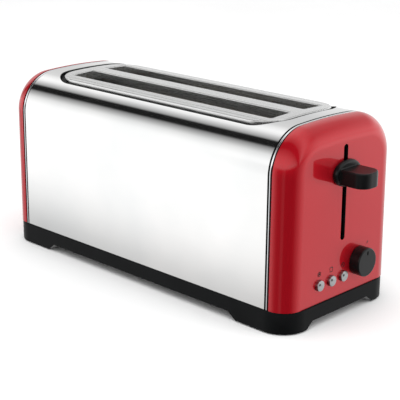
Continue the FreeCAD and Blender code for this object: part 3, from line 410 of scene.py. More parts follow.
def use_modifier(piece, kind, **settings):
    """Adds a modifier with its settings and applies it."""
    take(piece)
    modifier = piece.modifiers.new(kind.title(), kind)
    for name, value in settings.items():
        setattr(modifier, name, value)
    bpy.ops.object.modifier_apply(modifier=modifier.name)
    return piece


def cut_away(piece, *tools):
    """Cuts tools out of a piece, and clears the tools away."""
    for tool in tools:
        use_modifier(piece, "BOOLEAN", operation="DIFFERENCE", solver="EXACT", object=tool)
        bpy.data.objects.remove(tool)
    return piece


def merge_into(piece, *others):
    """Joins other objects into the piece as they are."""
    take(piece)
    for other in others:
        other.select_set(True)
    bpy.ops.object.join()
    return piece


def face_outwards(piece):
    """Merges doubled corners and turns all faces outwards."""
    edit(piece)
    bpy.ops.mesh.select_all(action="SELECT")
    bpy.ops.mesh.remove_doubles(threshold=0.000001)
    bpy.ops.mesh.normals_make_consistent(inside=False)
    leave()


def complete(piece, slot, body, *nodes, angle=32, finish=None):
    """Smooths a piece, gives it its finish, and hangs it on its body in place of its engineering parts."""
    take(piece)
    bpy.ops.object.shade_smooth_by_angle(angle=math.radians(angle))
    use_modifier(piece, "WEIGHTED_NORMAL", keep_sharp=True, weight=100)
    piece.data.materials.clear()
    piece.data.materials.append(finish or FINISH[slot])
    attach(piece, body)
    if nodes:
        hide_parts(*nodes)
    print(piece.name, len(piece.data.polygons), "faces on", body)
    return piece

# %% [markdown]
# ## The body's section
#
# Steel wrap, caps, rings and beads all share one section, so it is drawn once as a function. One point is
# extruded up the leaning side, then spun round the shoulder's centre, the dome's centre and the other
# shoulder's centre. Spinning gives true arcs whose ends meet without a crease, which matters on a mirror.

# %% Section
SHOULDER_STEPS = 28
DOME_STEPS = 24


def add_section(name, x, inset=0.0):
    """The body's section as a chain of edges in the plane at x, drawn in by inset."""
    bend = SHOULDER_RADIUS - inset
    dome = DOME_RADIUS - inset
    side = SHOULDER_HALF_WIDTH - inset
    bend_y = side - bend
    dome_z = BODY_TOP - DOME_RADIUS
    bend_z = dome_z + math.sqrt((dome - bend) ** 2 - bend_y ** 2)
    lean = math.atan2(bend_y, bend_z - dome_z)
    bpy.ops.object.select_all(action="DESELECT")
    bpy.ops.mesh.primitive_plane_add(size=MM)
    piece = named(name)
    edit(piece)
    bpy.ops.mesh.select_mode(type="VERT")
    bpy.ops.mesh.select_all(action="SELECT")
    bpy.ops.mesh.merge(type="CENTER")
    bpy.ops.transform.translate(value=(x, inset - BODY_HALF_WIDTH, BODY_BOTTOM))
    up_side = (0, BODY_HALF_WIDTH - SHOULDER_HALF_WIDTH, bend_z - BODY_BOTTOM)
    bpy.ops.mesh.extrude_region_move(TRANSFORM_OT_translate={"value": up_side})
    for steps, angle, centre in (
        (SHOULDER_STEPS, QUARTER - lean, (x, -bend_y, bend_z)),
        (DOME_STEPS, 2 * lean, (x, 0, dome_z)),
        (SHOULDER_STEPS, QUARTER - lean, (x, bend_y, bend_z)),
    ):
        bpy.ops.mesh.spin(steps=steps, angle=angle, center=centre, axis=(1, 0, 0))
    down_side = (0, up_side[1], -up_side[2])
    bpy.ops.mesh.extrude_region_move(TRANSFORM_OT_translate={"value": down_side})
    bpy.ops.mesh.select_all(action="SELECT")
    bpy.ops.mesh.remove_doubles(threshold=0.000001)
    return piece


def add_bar(name, low_x, high_x, inset=0.0):
    """The section as a solid bar from one x to another."""
    piece = add_section(name, low_x, inset)
    bpy.ops.mesh.edge_face_add()
    bpy.ops.mesh.extrude_region_move(TRANSFORM_OT_translate={"value": (high_x - low_x, 0, 0)})
    leave()
    face_outwards(piece)
    return piece


test_bar = add_bar("section_test", 0, 0.01)
box_of_test = [Vector(corner) for corner in test_bar.bound_box]
print("section spans", [round(v / MM, 2) for v in (box_of_test[0].y, box_of_test[6].y, box_of_test[6].z)])
bpy.data.objects.remove(test_bar)

# %% [markdown]
# ## Steel wrap
#
# The body is one sheet of stainless steel, folded over two round shoulders and polished, with a large
# opening pressed out of its top. The section is pulled along X into a sheet and given its 0.8 mm wall.
# The opening is a rounded block taken away.

# %% Steel wrap
OPENING_HALF_LENGTH = 153 * MM
OPENING_HALF_WIDTH = 54.5 * MM
OPENING_RADIUS = 30 * MM


def add_rounded_block(name, low, high, radius, segments=20):
    """A block whose four upright edges are rounded."""
    piece = add_block(name, low, high)
    edit(piece)
    pick(piece, "EDGE", lambda edge: runs_along(edge, 2))
    bpy.ops.mesh.bevel(offset=radius, segments=segments, affect="EDGES", clamp_overlap=False)
    leave()
    return piece


wrap = add_section("steel_wrap_shell", wrap_low[0])
bpy.ops.mesh.extrude_region_move(TRANSFORM_OT_translate={"value": (wrap_high[0] - wrap_low[0], 0, 0)})
bpy.ops.mesh.select_all(action="SELECT")
bpy.ops.mesh.normals_make_consistent(inside=False)
leave()
outward = sum(face.normal.z for face in wrap.data.polygons)
if outward < 0:
    edit(wrap)
    bpy.ops.mesh.flip_normals()
    leave()
use_modifier(wrap, "SOLIDIFY", thickness=SHEET, offset=-1)
opening = add_rounded_block(
    "opening_tool",
    (MIDDLE_X - OPENING_HALF_LENGTH, -OPENING_HALF_WIDTH, BODY_TOP - 14 * MM),
    (MIDDLE_X + OPENING_HALF_LENGTH, OPENING_HALF_WIDTH, BODY_TOP + 10 * MM),
    OPENING_RADIUS)
cut_away(wrap, opening)
complete(wrap, "polished_steel", "housing", "steel_wrap")

# %% [markdown]
# ## Top plate
#
# The plate that carries the bread slots is pressed from thinner steel: a rounded oblong that follows the
# dome, with a skirt turned down round it and a lip turned down round each slot. A block is cut at the slot
# edges and at many planes along its width, the slot faces are deleted, and their rims are pulled down.

# %% Top plate
PLATE_RADIUS = 26 * MM
PLATE_SKIRT = 10.8 * MM
PLATE_WALL = 1.2 * MM
SLOT_HALF_LENGTH = 136 * MM
SLOT_INNER = 8.2 * MM
SLOT_OUTER = 36.2 * MM
SLOT_LIP = 10 * MM
TOP_ROUND = 1.4 * MM


def slice_at(piece, axis, places):
    """Cuts a mesh through at planes across an axis."""
    normal = [0, 0, 0]
    normal[axis] = 1
    for at in places:
        point = [0, 0, 0]
        point[axis] = at
        bpy.ops.mesh.select_all(action="SELECT")
        bpy.ops.mesh.bisect(plane_co=point, plane_no=normal)


def in_slot(spot):
    """Whether a spot lies inside either bread slot."""
    return abs(spot.x - MIDDLE_X) < SLOT_HALF_LENGTH and SLOT_INNER < abs(spot.y) < SLOT_OUTER


plate_half_width = plate_high[1]
plate = add_rounded_block(
    "slot_plate",
    (plate_low[0], -plate_half_width, BODY_TOP - PLATE_SKIRT),
    (plate_high[0], plate_half_width, BODY_TOP),
    PLATE_RADIUS)
edit(plate)
pick(plate, "FACE", lambda face: face.normal.z < -0.5)
bpy.ops.mesh.delete(type="FACE")
DOME_CUTS = 20
inner_cuts = [plate_half_width * (2 * n / DOME_CUTS - 1) for n in range(1, DOME_CUTS)]
inner_cuts = [y for y in inner_cuts if all(abs(abs(y) - edge) > MM for edge in (SLOT_INNER, SLOT_OUTER))]
slice_at(plate, 1, sorted(inner_cuts + [-SLOT_OUTER, -SLOT_INNER, SLOT_INNER, SLOT_OUTER]))
slice_at(plate, 0, [MIDDLE_X - SLOT_HALF_LENGTH, MIDDLE_X + SLOT_HALF_LENGTH])
pick(plate, "FACE", lambda face: face.normal.z > 0.9 and in_slot(centre_of(face)))
bpy.ops.mesh.delete(type="FACE")
pick(plate, "EDGE", lambda edge: edge.is_boundary and edge.verts[0].co.z > BODY_TOP - MM
     and edge.verts[1].co.z > BODY_TOP - MM)
bpy.ops.mesh.extrude_edges_move(TRANSFORM_OT_translate={"value": (0, 0, -SLOT_LIP)})


def at_top(edge):
    """Whether an edge lies in the flat top."""
    return all(corner.co.z > BODY_TOP - MM / 10 for corner in edge.verts)


def turns_down(edge):
    """Whether an edge lies between the flat top and a wall."""
    return len(edge.link_faces) == 2 and abs(edge.link_faces[0].normal.z - edge.link_faces[1].normal.z) > 0.5


pick(plate, "EDGE", lambda edge: runs_along(edge, 2) and len(edge.link_faces) == 2
     and abs(edge.link_faces[0].normal.dot(edge.link_faces[1].normal)) < 0.1)
bpy.ops.mesh.bevel(offset=2 * MM, segments=6, affect="EDGES", clamp_overlap=False)
pick(plate, "EDGE", lambda edge: at_top(edge) and turns_down(edge))
bpy.ops.mesh.bevel(offset=TOP_ROUND, segments=5, affect="EDGES", clamp_overlap=False)
leave()
for corner in plate.data.vertices:
    if corner.co.z > BODY_TOP - 2 * TOP_ROUND:
        corner.co.z -= DOME_RADIUS - math.sqrt(DOME_RADIUS ** 2 - corner.co.y ** 2)
use_modifier(plate, "SOLIDIFY", thickness=PLATE_WALL, offset=-1)
complete(plate, "satin_plate", "housing", "top_plate", angle=40)

# %% [markdown]
# ## End caps
#
# Each cap is a hollow moulding, lacquered red. The section is filled and pulled out by the cap's depth,
# its outer rim is rolled over by a wide bevel that leaves the foot square, its back is opened, and a wall
# is given inwards. The control end then gets its lever slot with round ends, and holes for its controls.

# %% End caps
RIM_SEGMENTS = 18


def add_cap(name, back, face):
    """A hollow cap whose open back is at one x and whose face is at another."""
    piece = add_bar(name, back, face)
    edit(piece)
    pick(piece, "EDGE", lambda edge: all(abs(corner.co.x - face) < NEAR for corner in edge.verts)
         and not all(corner.co.z < BODY_BOTTOM + NEAR for corner in edge.verts))
    bpy.ops.mesh.bevel(offset=CAP_ROUNDING, segments=RIM_SEGMENTS, affect="EDGES", clamp_overlap=False)
    pick(piece, "FACE", lambda face: abs(centre_of(face).x - back) < NEAR or face.normal.z < -0.9)
    bpy.ops.mesh.delete(type="FACE")
    leave()
    use_modifier(piece, "SOLIDIFY", thickness=CAP_WALL, offset=-1, use_even_offset=True)
    return piece


LEVER_SLOT_LOW = 73.4 * MM
LEVER_SLOT_HIGH = 162 * MM
LEVER_SLOT_HALF = 3 * MM
CAP_FACE = cap_high[0]
KNOB_Y = (knob_low[1] + knob_high[1]) / 2
KNOB_Z = (knob_low[2] + knob_high[2]) / 2
BUTTONS = {"defrost": "defrost_button", "reheat": "reheat_button", "cancel": "cancel_button"}
BUTTON_HOLE = 5.2 * MM
SHAFT_HOLE = 4.6 * MM
HOLE_REACH = 20 * MM
SLOT_REACH = 8 * MM
SLOT_ROUND = 0.98 * LEVER_SLOT_HALF

front = add_cap("front_end_cap", cap_low[0], CAP_FACE)
slot_tool = add_block("lever_slot_tool", (CAP_FACE - SLOT_REACH, -LEVER_SLOT_HALF, LEVER_SLOT_LOW),
                      (CAP_FACE + SLOT_REACH, LEVER_SLOT_HALF, LEVER_SLOT_HIGH))
edit(slot_tool)
pick(slot_tool, "EDGE", lambda edge: runs_along(edge, 0))
bpy.ops.mesh.bevel(offset=SLOT_ROUND, segments=10, affect="EDGES", clamp_overlap=False)
leave()
cut_away(front, slot_tool, add_rod("shaft_hole_tool", "x", (CAP_FACE, KNOB_Y, KNOB_Z), SHAFT_HOLE,
                                   HOLE_REACH, 40))
for node in BUTTONS.values():
    low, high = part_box(node)
    middle = (CAP_FACE, (low[1] + high[1]) / 2, (low[2] + high[2]) / 2)
    cut_away(front, add_rod("button_hole_tool", "x", middle, BUTTON_HOLE, HOLE_REACH, 48))
complete(front, "red_gloss", "housing", "front_cap", angle=30)
# the lever slot's walls take black plastic: painted shade for the dark inside the narrow slot
front.data.materials.append(FINISH["black_plastic"])
SLOT_MIDDLE = (LEVER_SLOT_LOW + LEVER_SLOT_HIGH) / 2
for wall in front.data.polygons:
    beside = abs(wall.center.y) < LEVER_SLOT_HALF + MM / 10
    level = abs(wall.center.z - SLOT_MIDDLE) < (LEVER_SLOT_HIGH - LEVER_SLOT_LOW) / 2 + MM / 10
    if beside and level and abs(wall.normal.x) < 0.5:
        wall.material_index = 1
rear = add_cap("rear_end_cap", rear_high[0], rear_low[0])
face_outwards(rear)
complete(rear, "red_gloss", "housing", "rear_cap", angle=30)

# %% [markdown]
# ## Trim
#
# Between the steel and each cap sits a black ring, a little sunk, with a bright chromed bead round its
# middle. Each is the same section given a small depth and its middle taken out. The bead's two edges are
# rolled over, so that it catches the light as a rod would.

# %% Trim rings and beads
RING_WALL = 3 * MM
BEAD_ROUND = 0.7 * MM
for end in ("front", "rear"):
    ring_low, ring_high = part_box(end + "_trim_ring")
    ring = add_bar(end + "_black_ring", ring_low[0], ring_high[0], SHEET)
    cut_away(ring, add_bar("ring_tool", ring_low[0] - MM, ring_high[0] + MM, RING_WALL))
    complete(ring, "black_plastic", "housing", end + "_trim_ring")
    bead_low, bead_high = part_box(end + "_trim_bead")
    bead = add_bar(end + "_bright_bead", bead_low[0], bead_high[0])
    edit(bead)
    pick(bead, "EDGE", lambda edge: abs(edge.verts[0].co.x - edge.verts[1].co.x) < NEAR
         and edge.is_manifold and not all(c.co.z < BODY_BOTTOM + NEAR for c in edge.verts)
         and len(edge.link_faces) == 2
         and abs(edge.link_faces[0].normal.dot(edge.link_faces[1].normal)) < 0.5)
    bpy.ops.mesh.bevel(offset=BEAD_ROUND, segments=5, affect="EDGES", clamp_overlap=False)
    leave()
    cut_away(bead, add_bar("bead_tool", bead_low[0] - MM, bead_high[0] + MM, 2 * SHEET))
    complete(bead, "bright_trim", "housing", end + "_trim_bead")

# %% [markdown]
# ## Base
#
# The base is one black moulding: a tray with rounded corners, a bevelled ledge that the body stands on,
# and four feet left where two wide channels run across its underside. Its rear wall has the crumb tray's
# mouth and the lead's gland.

# %% Base
BASE_RADIUS = 26 * MM
BASE_WALL = 2.5 * MM
BASE_FLOOR = 10 * MM
CHANNEL_TOP = 7.5 * MM
FOOT_SLOPE = 10 * MM
FOOT_GAP_LENGTH = 135 * MM
FOOT_GAP_WIDTH = 49.5 * MM
BASE_EDGE = 1.2 * MM
FOOT_ROUND = 0.6 * MM
GLAND_HOLE = 4.7 * MM
GLAND_REACH = 12 * MM


def add_channel(name, axis, half_span):
    """A wide block with its two long top edges drawn in, to cut the gap between the feet."""
    reach = base_high[0] - base_low[0]
    low, high = [MIDDLE_X, 0, -CHANNEL_TOP], [MIDDLE_X, 0, CHANNEL_TOP]
    for n in (0, 1):
        span = half_span if n == axis else reach
        low[n] -= span
        high[n] += span
    low[2] = 0
    piece = add_block(name, low, high)
    edit(piece)
    pick(piece, "FACE", lambda face: face.normal.z > 0.5)
    share = [1, 1, 1]
    share[axis] = 1 - FOOT_SLOPE / half_span
    bpy.ops.transform.resize(value=share, center_override=(MIDDLE_X, 0, CHANNEL_TOP))
    leave()
    return piece


base = add_rounded_block("base_moulding", base_low, base_high, BASE_RADIUS)
edit(base)
pick(base, "EDGE", lambda edge: all(c.co.z > base_high[2] - NEAR for c in edge.verts))
bpy.ops.mesh.bevel(offset=BASE_EDGE, segments=4, affect="EDGES", clamp_overlap=False)
leave()
cut_away(base, add_channel("gap_between_ends", 0, FOOT_GAP_LENGTH),
         add_channel("gap_between_sides", 1, FOOT_GAP_WIDTH))
use_modifier(base, "BEVEL", width=FOOT_ROUND, segments=3, limit_method="ANGLE", angle_limit=math.radians(35),
             use_clamp_overlap=True)
well = add_rounded_block(
    "base_well", (base_low[0] + BASE_WALL, base_low[1] + BASE_WALL, BASE_FLOOR),
    (base_high[0] - BASE_WALL, base_high[1] - BASE_WALL, base_high[2] + MM), BASE_RADIUS - BASE_WALL)
tray_low, tray_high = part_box("tray_handle")
PLAY = 0.3 * MM
mouth = add_block("tray_mouth_tool", (base_low[0] - MM, tray_low[1] - PLAY, BASE_FLOOR),
                  (base_low[0] + 2 * BASE_WALL, tray_high[1] + PLAY, tray_high[2] + PLAY))
gland_low, gland_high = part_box("cord_gland")
gland_z = (gland_low[2] + gland_high[2]) / 2
gland_y = (gland_low[1] + gland_high[1]) / 2
gland_hole = add_rod("gland_tool", "x", (base_low[0], gland_y, gland_z), GLAND_HOLE, GLAND_REACH, 40)
cut_away(base, well, mouth, gland_hole)
complete(base, "black_plastic", "housing", "base_housing")

# %% [markdown]
# ## Lever
#
# The lever is one black moulding: a thin oval boss that slides over the slot, and a deep paddle for the
# finger that grows out of it, with a round front and a flat top. Boss and paddle are shaped apart,
# joined, and remeshed finely, so that they run into each other with a small fillet as a moulding does.

# %% Lever
lever_mid_z = (lever_low[2] + lever_high[2]) / 2
BOSS_DEPTH = 4.5 * MM
BOSS_HALF_WIDTH = 18.2 * MM
BOSS_HALF_HEIGHT = 12.2 * MM
PADDLE_HALF_WIDTH = 13 * MM
PADDLE_LOW = lever_mid_z - 8.4 * MM
PADDLE_TOP = lever_mid_z + 5.6 * MM
PADDLE_FRONT = 10.5 * MM
PADDLE_EDGE = MM
BOSS_EDGE = 2.4 * MM

boss = add_rod("lever", "x", (lever_low[0] + BOSS_DEPTH / 2, 0, lever_mid_z), 1.0, BOSS_DEPTH, 96)
edit(boss)
bpy.ops.mesh.select_all(action="SELECT")
bpy.ops.transform.resize(value=(1, BOSS_HALF_WIDTH, BOSS_HALF_HEIGHT), center_override=(0, 0, lever_mid_z))
pick(boss, "EDGE", lambda edge: all(c.co.x > lever_low[0] + BOSS_DEPTH / 2 for c in edge.verts))
bpy.ops.mesh.bevel(offset=BOSS_EDGE, segments=6, affect="EDGES", clamp_overlap=False)
leave()
paddle = add_block("paddle", (lever_low[0] + MM, -PADDLE_HALF_WIDTH, PADDLE_LOW),
                   (lever_high[0], PADDLE_HALF_WIDTH, PADDLE_TOP))
edit(paddle)
pick(paddle, "EDGE", lambda edge: runs_along(edge, 2) and edge.verts[0].co.x > lever_high[0] - 2 * MM)
bpy.ops.mesh.bevel(offset=PADDLE_FRONT, segments=14, affect="EDGES", clamp_overlap=False)
pick(paddle, "EDGE", lambda edge: turns_down(edge) and edge.verts[0].co.x > lever_low[0] + 3 * MM)
bpy.ops.mesh.bevel(offset=PADDLE_EDGE, segments=5, affect="EDGES", clamp_overlap=False)
leave()
lever = use_modifier(boss, "BOOLEAN", operation="UNION", solver="EXACT", object=paddle)
bpy.data.objects.remove(paddle)
use_modifier(lever, "REMESH", mode="VOXEL", voxel_size=0.3 * MM)
use_modifier(lever, "SMOOTH", factor=0.5, iterations=5)
complete(lever, "black_gloss", "carriage", "lever_knob", angle=60)

# %% [markdown]
# ## Browning knob
#
# The knob is a black moulding: a plain round drum with a softened front edge, a flat face, and a small
# pointer recess near the rim. A cylinder is bevelled at its front, and a small rounded block is taken
# away for the pointer.

# %% Browning knob
knob_radius = (knob_high[1] - knob_low[1]) / 2
KNOB_EDGE = 1.3 * MM
knob = add_rod("browning_dial", "x", ((knob_low[0] + knob_high[0]) / 2, KNOB_Y, KNOB_Z), knob_radius,
               knob_high[0] - knob_low[0], 128)
edit(knob)
pick(knob, "EDGE", lambda edge: all(c.co.x > knob_high[0] - MM / 10 for c in edge.verts))
bpy.ops.mesh.bevel(offset=KNOB_EDGE, segments=6, affect="EDGES", clamp_overlap=False)
leave()
pointer = add_block("pointer_tool", (knob_high[0] - 1.2 * MM, KNOB_Y - 0.9 * MM, KNOB_Z + 7 * MM),
                    (knob_high[0] + MM, KNOB_Y + 0.9 * MM, KNOB_Z + 11 * MM))
edit(pointer)
pick(pointer, "EDGE", lambda edge: runs_along(edge, 0))
bpy.ops.mesh.bevel(offset=0.85 * MM, segments=6, affect="EDGES", clamp_overlap=False)
leave()
cut_away(knob, pointer)
complete(knob, "black_gloss", "browning_control", "browning_knob", angle=40)

# %% [markdown]
# ## Buttons
#
# Three round buttons, sprayed satin silver, stand in their holes with a dark gap round them. Each is a
# cylinder with a soft bevel and a slightly crowned face. A tiny black disc near its upper edge is a
# painted dark reflection.
# One is shaped and the others are copies with their own meshes, each moved to its own hole.

# %% Buttons
BUTTON_RADIUS = 5 * MM
first_low, first_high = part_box("defrost_button")
model = add_rod("button_model", "x", ((first_low[0] + first_high[0]) / 2, 0, 0), BUTTON_RADIUS,
                first_high[0] - first_low[0], 72)
edit(model)
pick(model, "EDGE", lambda edge: all(c.co.x > first_high[0] - MM / 10 for c in edge.verts))
bpy.ops.mesh.bevel(offset=0.7 * MM, segments=5, affect="EDGES", clamp_overlap=False)
pick(model, "FACE", lambda face: face.normal.x > 0.99)
for ring_width in (1.0 * MM, 1.2 * MM, 1.2 * MM):
    bpy.ops.mesh.inset(thickness=ring_width)
    bpy.ops.transform.translate(value=(0.08 * MM, 0, 0))
leave()

DOT_RADIUS = 1.1 * MM
for kind, node in BUTTONS.items():
    low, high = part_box(node)
    across, up = (low[1] + high[1]) / 2, (low[2] + high[2]) / 2
    button = model.copy()
    button.data = model.data.copy()
    button.name = button.data.name = kind + "_push_button"
    bpy.context.collection.objects.link(button)
    button.data.transform(Matrix.Translation((0, across, up)))
    crown = max(corner.co.x for corner in button.data.vertices) - high[0]
    button.data.transform(Matrix.Translation((-crown, 0, 0)))
    complete(button, "silver_button", kind, node)
    # a painted dark reflection: a thin black disc near the button's upper edge
    painted_reflection_dot = add_rod(kind + "_button_window", "x", (high[0] - 0.12 * MM, across - 1.9 * MM, up + 1.6 * MM),
                     DOT_RADIUS, 0.3 * MM, 24)
    edit(painted_reflection_dot)
    pick(painted_reflection_dot, "EDGE", lambda edge: all(c.co.x > high[0] - 0.1 * MM for c in edge.verts))
    bpy.ops.mesh.bevel(offset=0.08 * MM, segments=2, affect="EDGES", clamp_overlap=False)
    leave()
    complete(painted_reflection_dot, "silver_button", kind, finish=INK_AND_PAINTED_REFLECTION)
bpy.data.objects.remove(model)

# %% [markdown]
# ## Printed marks
#
# The marks on the cap are screen-printed ink: a snowflake, a slice of bread and a cancel cross above the
# buttons, and a tick beside the knob. They are thin slabs a twentieth of a millimetre proud of the
# lacquer, each built from little blocks and rings so that the ink has real edges.

# %% Printed marks
INK_THICK = 0.06 * MM
MARK_RISE = 10.5 * MM
STROKE = 0.65 * MM


def add_stroke(name, across, up, length, angle, width=STROKE):
    """A bar of ink about a point of the cap's face, turned by an angle from upright."""
    bpy.ops.object.select_all(action="DESELECT")
    bpy.ops.mesh.primitive_cube_add(size=1, location=(CAP_FACE + INK_THICK / 2, across, up),
                                    rotation=(angle, 0, 0), scale=(INK_THICK, width, length))
    return named(name)


def add_snowflake(name, across, up):
    """Three crossed bars of ink with small twigs at their ends."""
    flake = add_stroke(name, across, up, 5 * MM, 0)
    for turn_by in (math.pi / 3, -math.pi / 3):
        merge_into(flake, add_stroke("arm", across, up, 5 * MM, turn_by))
    for n in range(6):
        lean = n * math.pi / 3
        tip = Vector((0, -math.sin(lean), math.cos(lean))) * 1.6 * MM
        for side in (-1, 1):
            branch = lean + side * math.pi / 3
            reach = Vector((0, -math.sin(branch), math.cos(branch))) * 0.5 * MM
            spot = tip + reach
            merge_into(flake, add_stroke("twig", across + spot.y, up + spot.z, 1.1 * MM, branch, 0.4 * MM))
    return flake


def add_ring(name, across, up, radius, width):
    """A flat ring of ink."""
    ring = add_rod(name, "x", (CAP_FACE + INK_THICK / 2, across, up), radius, INK_THICK, 48)
    cut_away(ring, add_rod("ring_hole", "x", (CAP_FACE, across, up), radius - width, MM, 48))
    return ring


def add_slice(name, across, up):
    """The outline of a slice of bread: a ring, a square frame below it, and their shared inside open."""
    low = Vector((CAP_FACE, across - 2 * MM, up - 2.4 * MM))
    high = Vector((CAP_FACE + INK_THICK, across + 2 * MM, up + 0.8 * MM))
    crust = add_block(name, low, high)
    crown = add_rod("crown", "x", (CAP_FACE + INK_THICK / 2, across, up + 0.8 * MM), 2.5 * MM, INK_THICK, 40)
    crown.data.transform(Matrix.Translation((0, 0, up + 0.8 * MM)) @ Matrix.Scale(0.7, 4, (0, 0, 1))
                         @ Matrix.Translation((0, 0, -up - 0.8 * MM)))
    use_modifier(crust, "BOOLEAN", operation="UNION", solver="EXACT", object=crown)
    bpy.data.objects.remove(crown)
    inner = crust.copy()
    inner.data = crust.data.copy()
    bpy.context.collection.objects.link(inner)
    centre = Vector((CAP_FACE + INK_THICK / 2, across, up))
    inner.data.transform(Matrix.Translation(centre) @ Matrix.Diagonal((9, 0.72, 0.72, 1))
                         @ Matrix.Translation(-centre))
    return cut_away(crust, inner)


def add_cancel(name, across, up):
    """A ring with a bar through it."""
    ring = add_ring(name, across, up, 2.4 * MM, STROKE)
    return merge_into(ring, add_stroke("bar", across, up, 4.2 * MM, math.pi / 4))


MARKS = {"defrost": add_snowflake, "reheat": add_slice, "cancel": add_cancel}
for kind, node in BUTTONS.items():
    low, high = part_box(node)
    across, up = (low[1] + high[1]) / 2, (low[2] + high[2]) / 2
    mark = MARKS[kind](kind + "_mark", across, up + MARK_RISE)
    complete(mark, "black_plastic", "housing", finish=INK_AND_PAINTED_REFLECTION)
TICK_LENGTH = 3 * MM
TICK_WIDTH = 0.8 * MM
TICK_LEAN = -math.radians(40)
tick = add_stroke("browning_tick", KNOB_Y + 13.4 * MM, KNOB_Z + 13.9 * MM, TICK_LENGTH, TICK_LEAN, TICK_WIDTH)
complete(tick, "black_plastic", "housing", finish=INK_AND_PAINTED_REFLECTION)

# %% [markdown]
# ## Return springs
#
# Two springs stand round the guide rods and lift the carriage. Each is drawn wire wound on a mandrel. A
# small ring is carried round and up by a Screw modifier, its two ends are closed, and the finished coil is
# set over its rod.

# %% Return springs
SPRING_WIRE_RADIUS = 0.5 * MM
SPRING_PITCH = 4.6 * MM
for side in ("left", "right"):
    spring_low, spring_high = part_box(side + "_return_spring")
    coil_radius = (spring_high[0] - spring_low[0]) / 2 - SPRING_WIRE_RADIUS
    tall = spring_high[2] - spring_low[2]
    turns = int((tall - 2 * SPRING_WIRE_RADIUS) / SPRING_PITCH)
    bpy.ops.object.select_all(action="DESELECT")
    bpy.ops.mesh.primitive_circle_add(vertices=10, radius=SPRING_WIRE_RADIUS, fill_type="NOTHING",
                                      location=(coil_radius, 0, 0), rotation=(math.pi / 2, 0, 0))
    spring = named(side + "_spring_coil")
    use_modifier(spring, "SCREW", axis="Z", angle=2 * math.pi, iterations=turns, steps=28, render_steps=28,
                 screw_offset=(tall - 2 * SPRING_WIRE_RADIUS) / turns)
    edit(spring)
    pick(spring, "EDGE", lambda edge: edge.is_boundary)
    bpy.ops.mesh.edge_face_add()
    leave()
    face_outwards(spring)
    spring.data.transform(Matrix.Translation(((spring_low[0] + spring_high[0]) / 2,
                                              (spring_low[1] + spring_high[1]) / 2,
                                              spring_low[2] + SPRING_WIRE_RADIUS)))
    complete(spring, "steel_wire", "housing", side + "_return_spring", angle=60)
    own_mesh(spring)
    print("spring", round(tall / MM, 1), "mm tall,", turns, "turns")

# %% [markdown]
# ## The parts that stay
#
# Screws, pads, gland, crumb tray, chassis, heaters, guards, carriage and electrics keep the
# engineering shape. Each takes the finish of its slot, and its sharp corners stay sharp, as on folded
# sheet. Their meshes are left alone.

# %% Finishes on the engineering parts
slots_of = {}
for name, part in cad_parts.items():
    if part.hide_render:
        continue
    for material_slot in part.material_slots:
        found = (material_slot.material.name if material_slot.material else "").split(".")[0]
        slots_of.setdefault(found, []).append(name)
        if found in FINISH:
            material_slot.material = FINISH[found]
print({slot: len(names) for slot, names in slots_of.items()})

# %% [markdown]
# ## Floor and light
#
# The toaster stands on a plain white sweep in a white studio. Matt things are lit evenly from all round,
# with a large soft light above and a second in front. Polished steel and lacquer show whatever faces them,
# so for reflections alone the studio is graded by direction: bright walls, a dark gap between the wall and
# the ceiling light that draws the line along the shoulder, and a dark corner on the near side of the cap.

# %% Floor
bpy.ops.object.select_all(action="DESELECT")
FLOOR_SIZE = 14
bpy.ops.mesh.primitive_plane_add(size=FLOOR_SIZE)
floor = named("floor")
paper, paper_tree, paper_shader, paper_place = start_finish("white_paper_sweep", Roughness=0.9)
tone = add(paper_tree, "ShaderNodeTexNoise", {"Vector": paper_place, "Scale": 3})
set_inputs(paper_tree, paper_shader, {
    "Base Color": add(paper_tree, "ShaderNodeValToRGB", {"Fac": tone}, tones("#f7f7f7", "#fafafa"))})
floor.data.materials.append(paper)
floor.visible_glossy = False

# %% Studio seen in reflections
# brightness by the angle, in degrees, of a direction seen along the toaster: 0 is the near side, 90 is up
WALL_TO_CEILING = (
    (-180, 0.95), (-120, 0.75), (-60, 0.45), (-28, 0.48), (-27, 0.66), (-26.5, 0.79), (-25.8, 0.88),
    (-24.5, 0.97), (-20, 1.0), (10, 0.98), (20, 0.945), (28, 0.85), (36, 0.73), (44, 0.49), (48.5, 0.36),
    (52.6, 0.27), (56.7, 0.1), (58, 0.01), (74, 0.01), (77, 0.3), (81, 0.4), (85, 0.52), (89.5, 0.64),
    (93.5, 0.775), (101.7, 0.92), (112, 0.85), (130, 0.62), (160, 0.55), (172, 0.75), (180, 0.95))
# brightness by compass angle below the horizon: 0 is straight out of the control end
NEAR_CORNER = (
    (-180, 1.0), (-132, 1.0), (-125, 0.75), (-118, 0.5), (-110, 0.3), (-100, 0.1), (-90, 0.05), (-80, 0.05),
    (-72, 0.17), (-65, 0.17), (-58, 0.01), (-20, 0.01), (-9, 0.07), (0, 0.28), (11, 0.4), (21, 0.56),
    (31, 0.7), (51, 0.74), (115, 0.74), (132, 1.0), (180, 1.0))
# how far the corner's dark and the front light's glow reach, by height of the direction from -1 to 1
CORNER_HEIGHT = ((-1, 1.0), (0.09, 1.0), (0.2, 0.0), (1, 0.0))
GLOW_HEIGHT = (
    (-1, 1.0), (-0.31, 1.0), (-0.24, 1.2), (-0.1, 1.5), (0.3, 1.5), (0.45, 1.1), (0.62, 0.6), (1, 0.9))
GLOW_COMPASS = ((-180, 0.0), (20, 0.0), (40, 1.0), (100, 1.0), (120, 0.0), (180, 0.0))
WALL_STRENGTH = 1.35
ROOM_LIGHT = 1.0

room = bpy.data.worlds.new("white_studio")
bpy.context.scene.world = room
room.use_nodes = True
room.cycles.sampling_method = "NONE"
studio = room.node_tree


def graded(value, table):
    """A varying value carried through a table of places and brightnesses."""
    first, last = table[0][0], table[-1][0]
    share = add(studio, "ShaderNodeMapRange", {"Value": value, "From Min": first, "From Max": last})
    return add(studio, "ShaderNodeValToRGB", {"Fac": share}, [
        ((place - first) / (last - first), (level, level, level, 1)) for place, level in table])


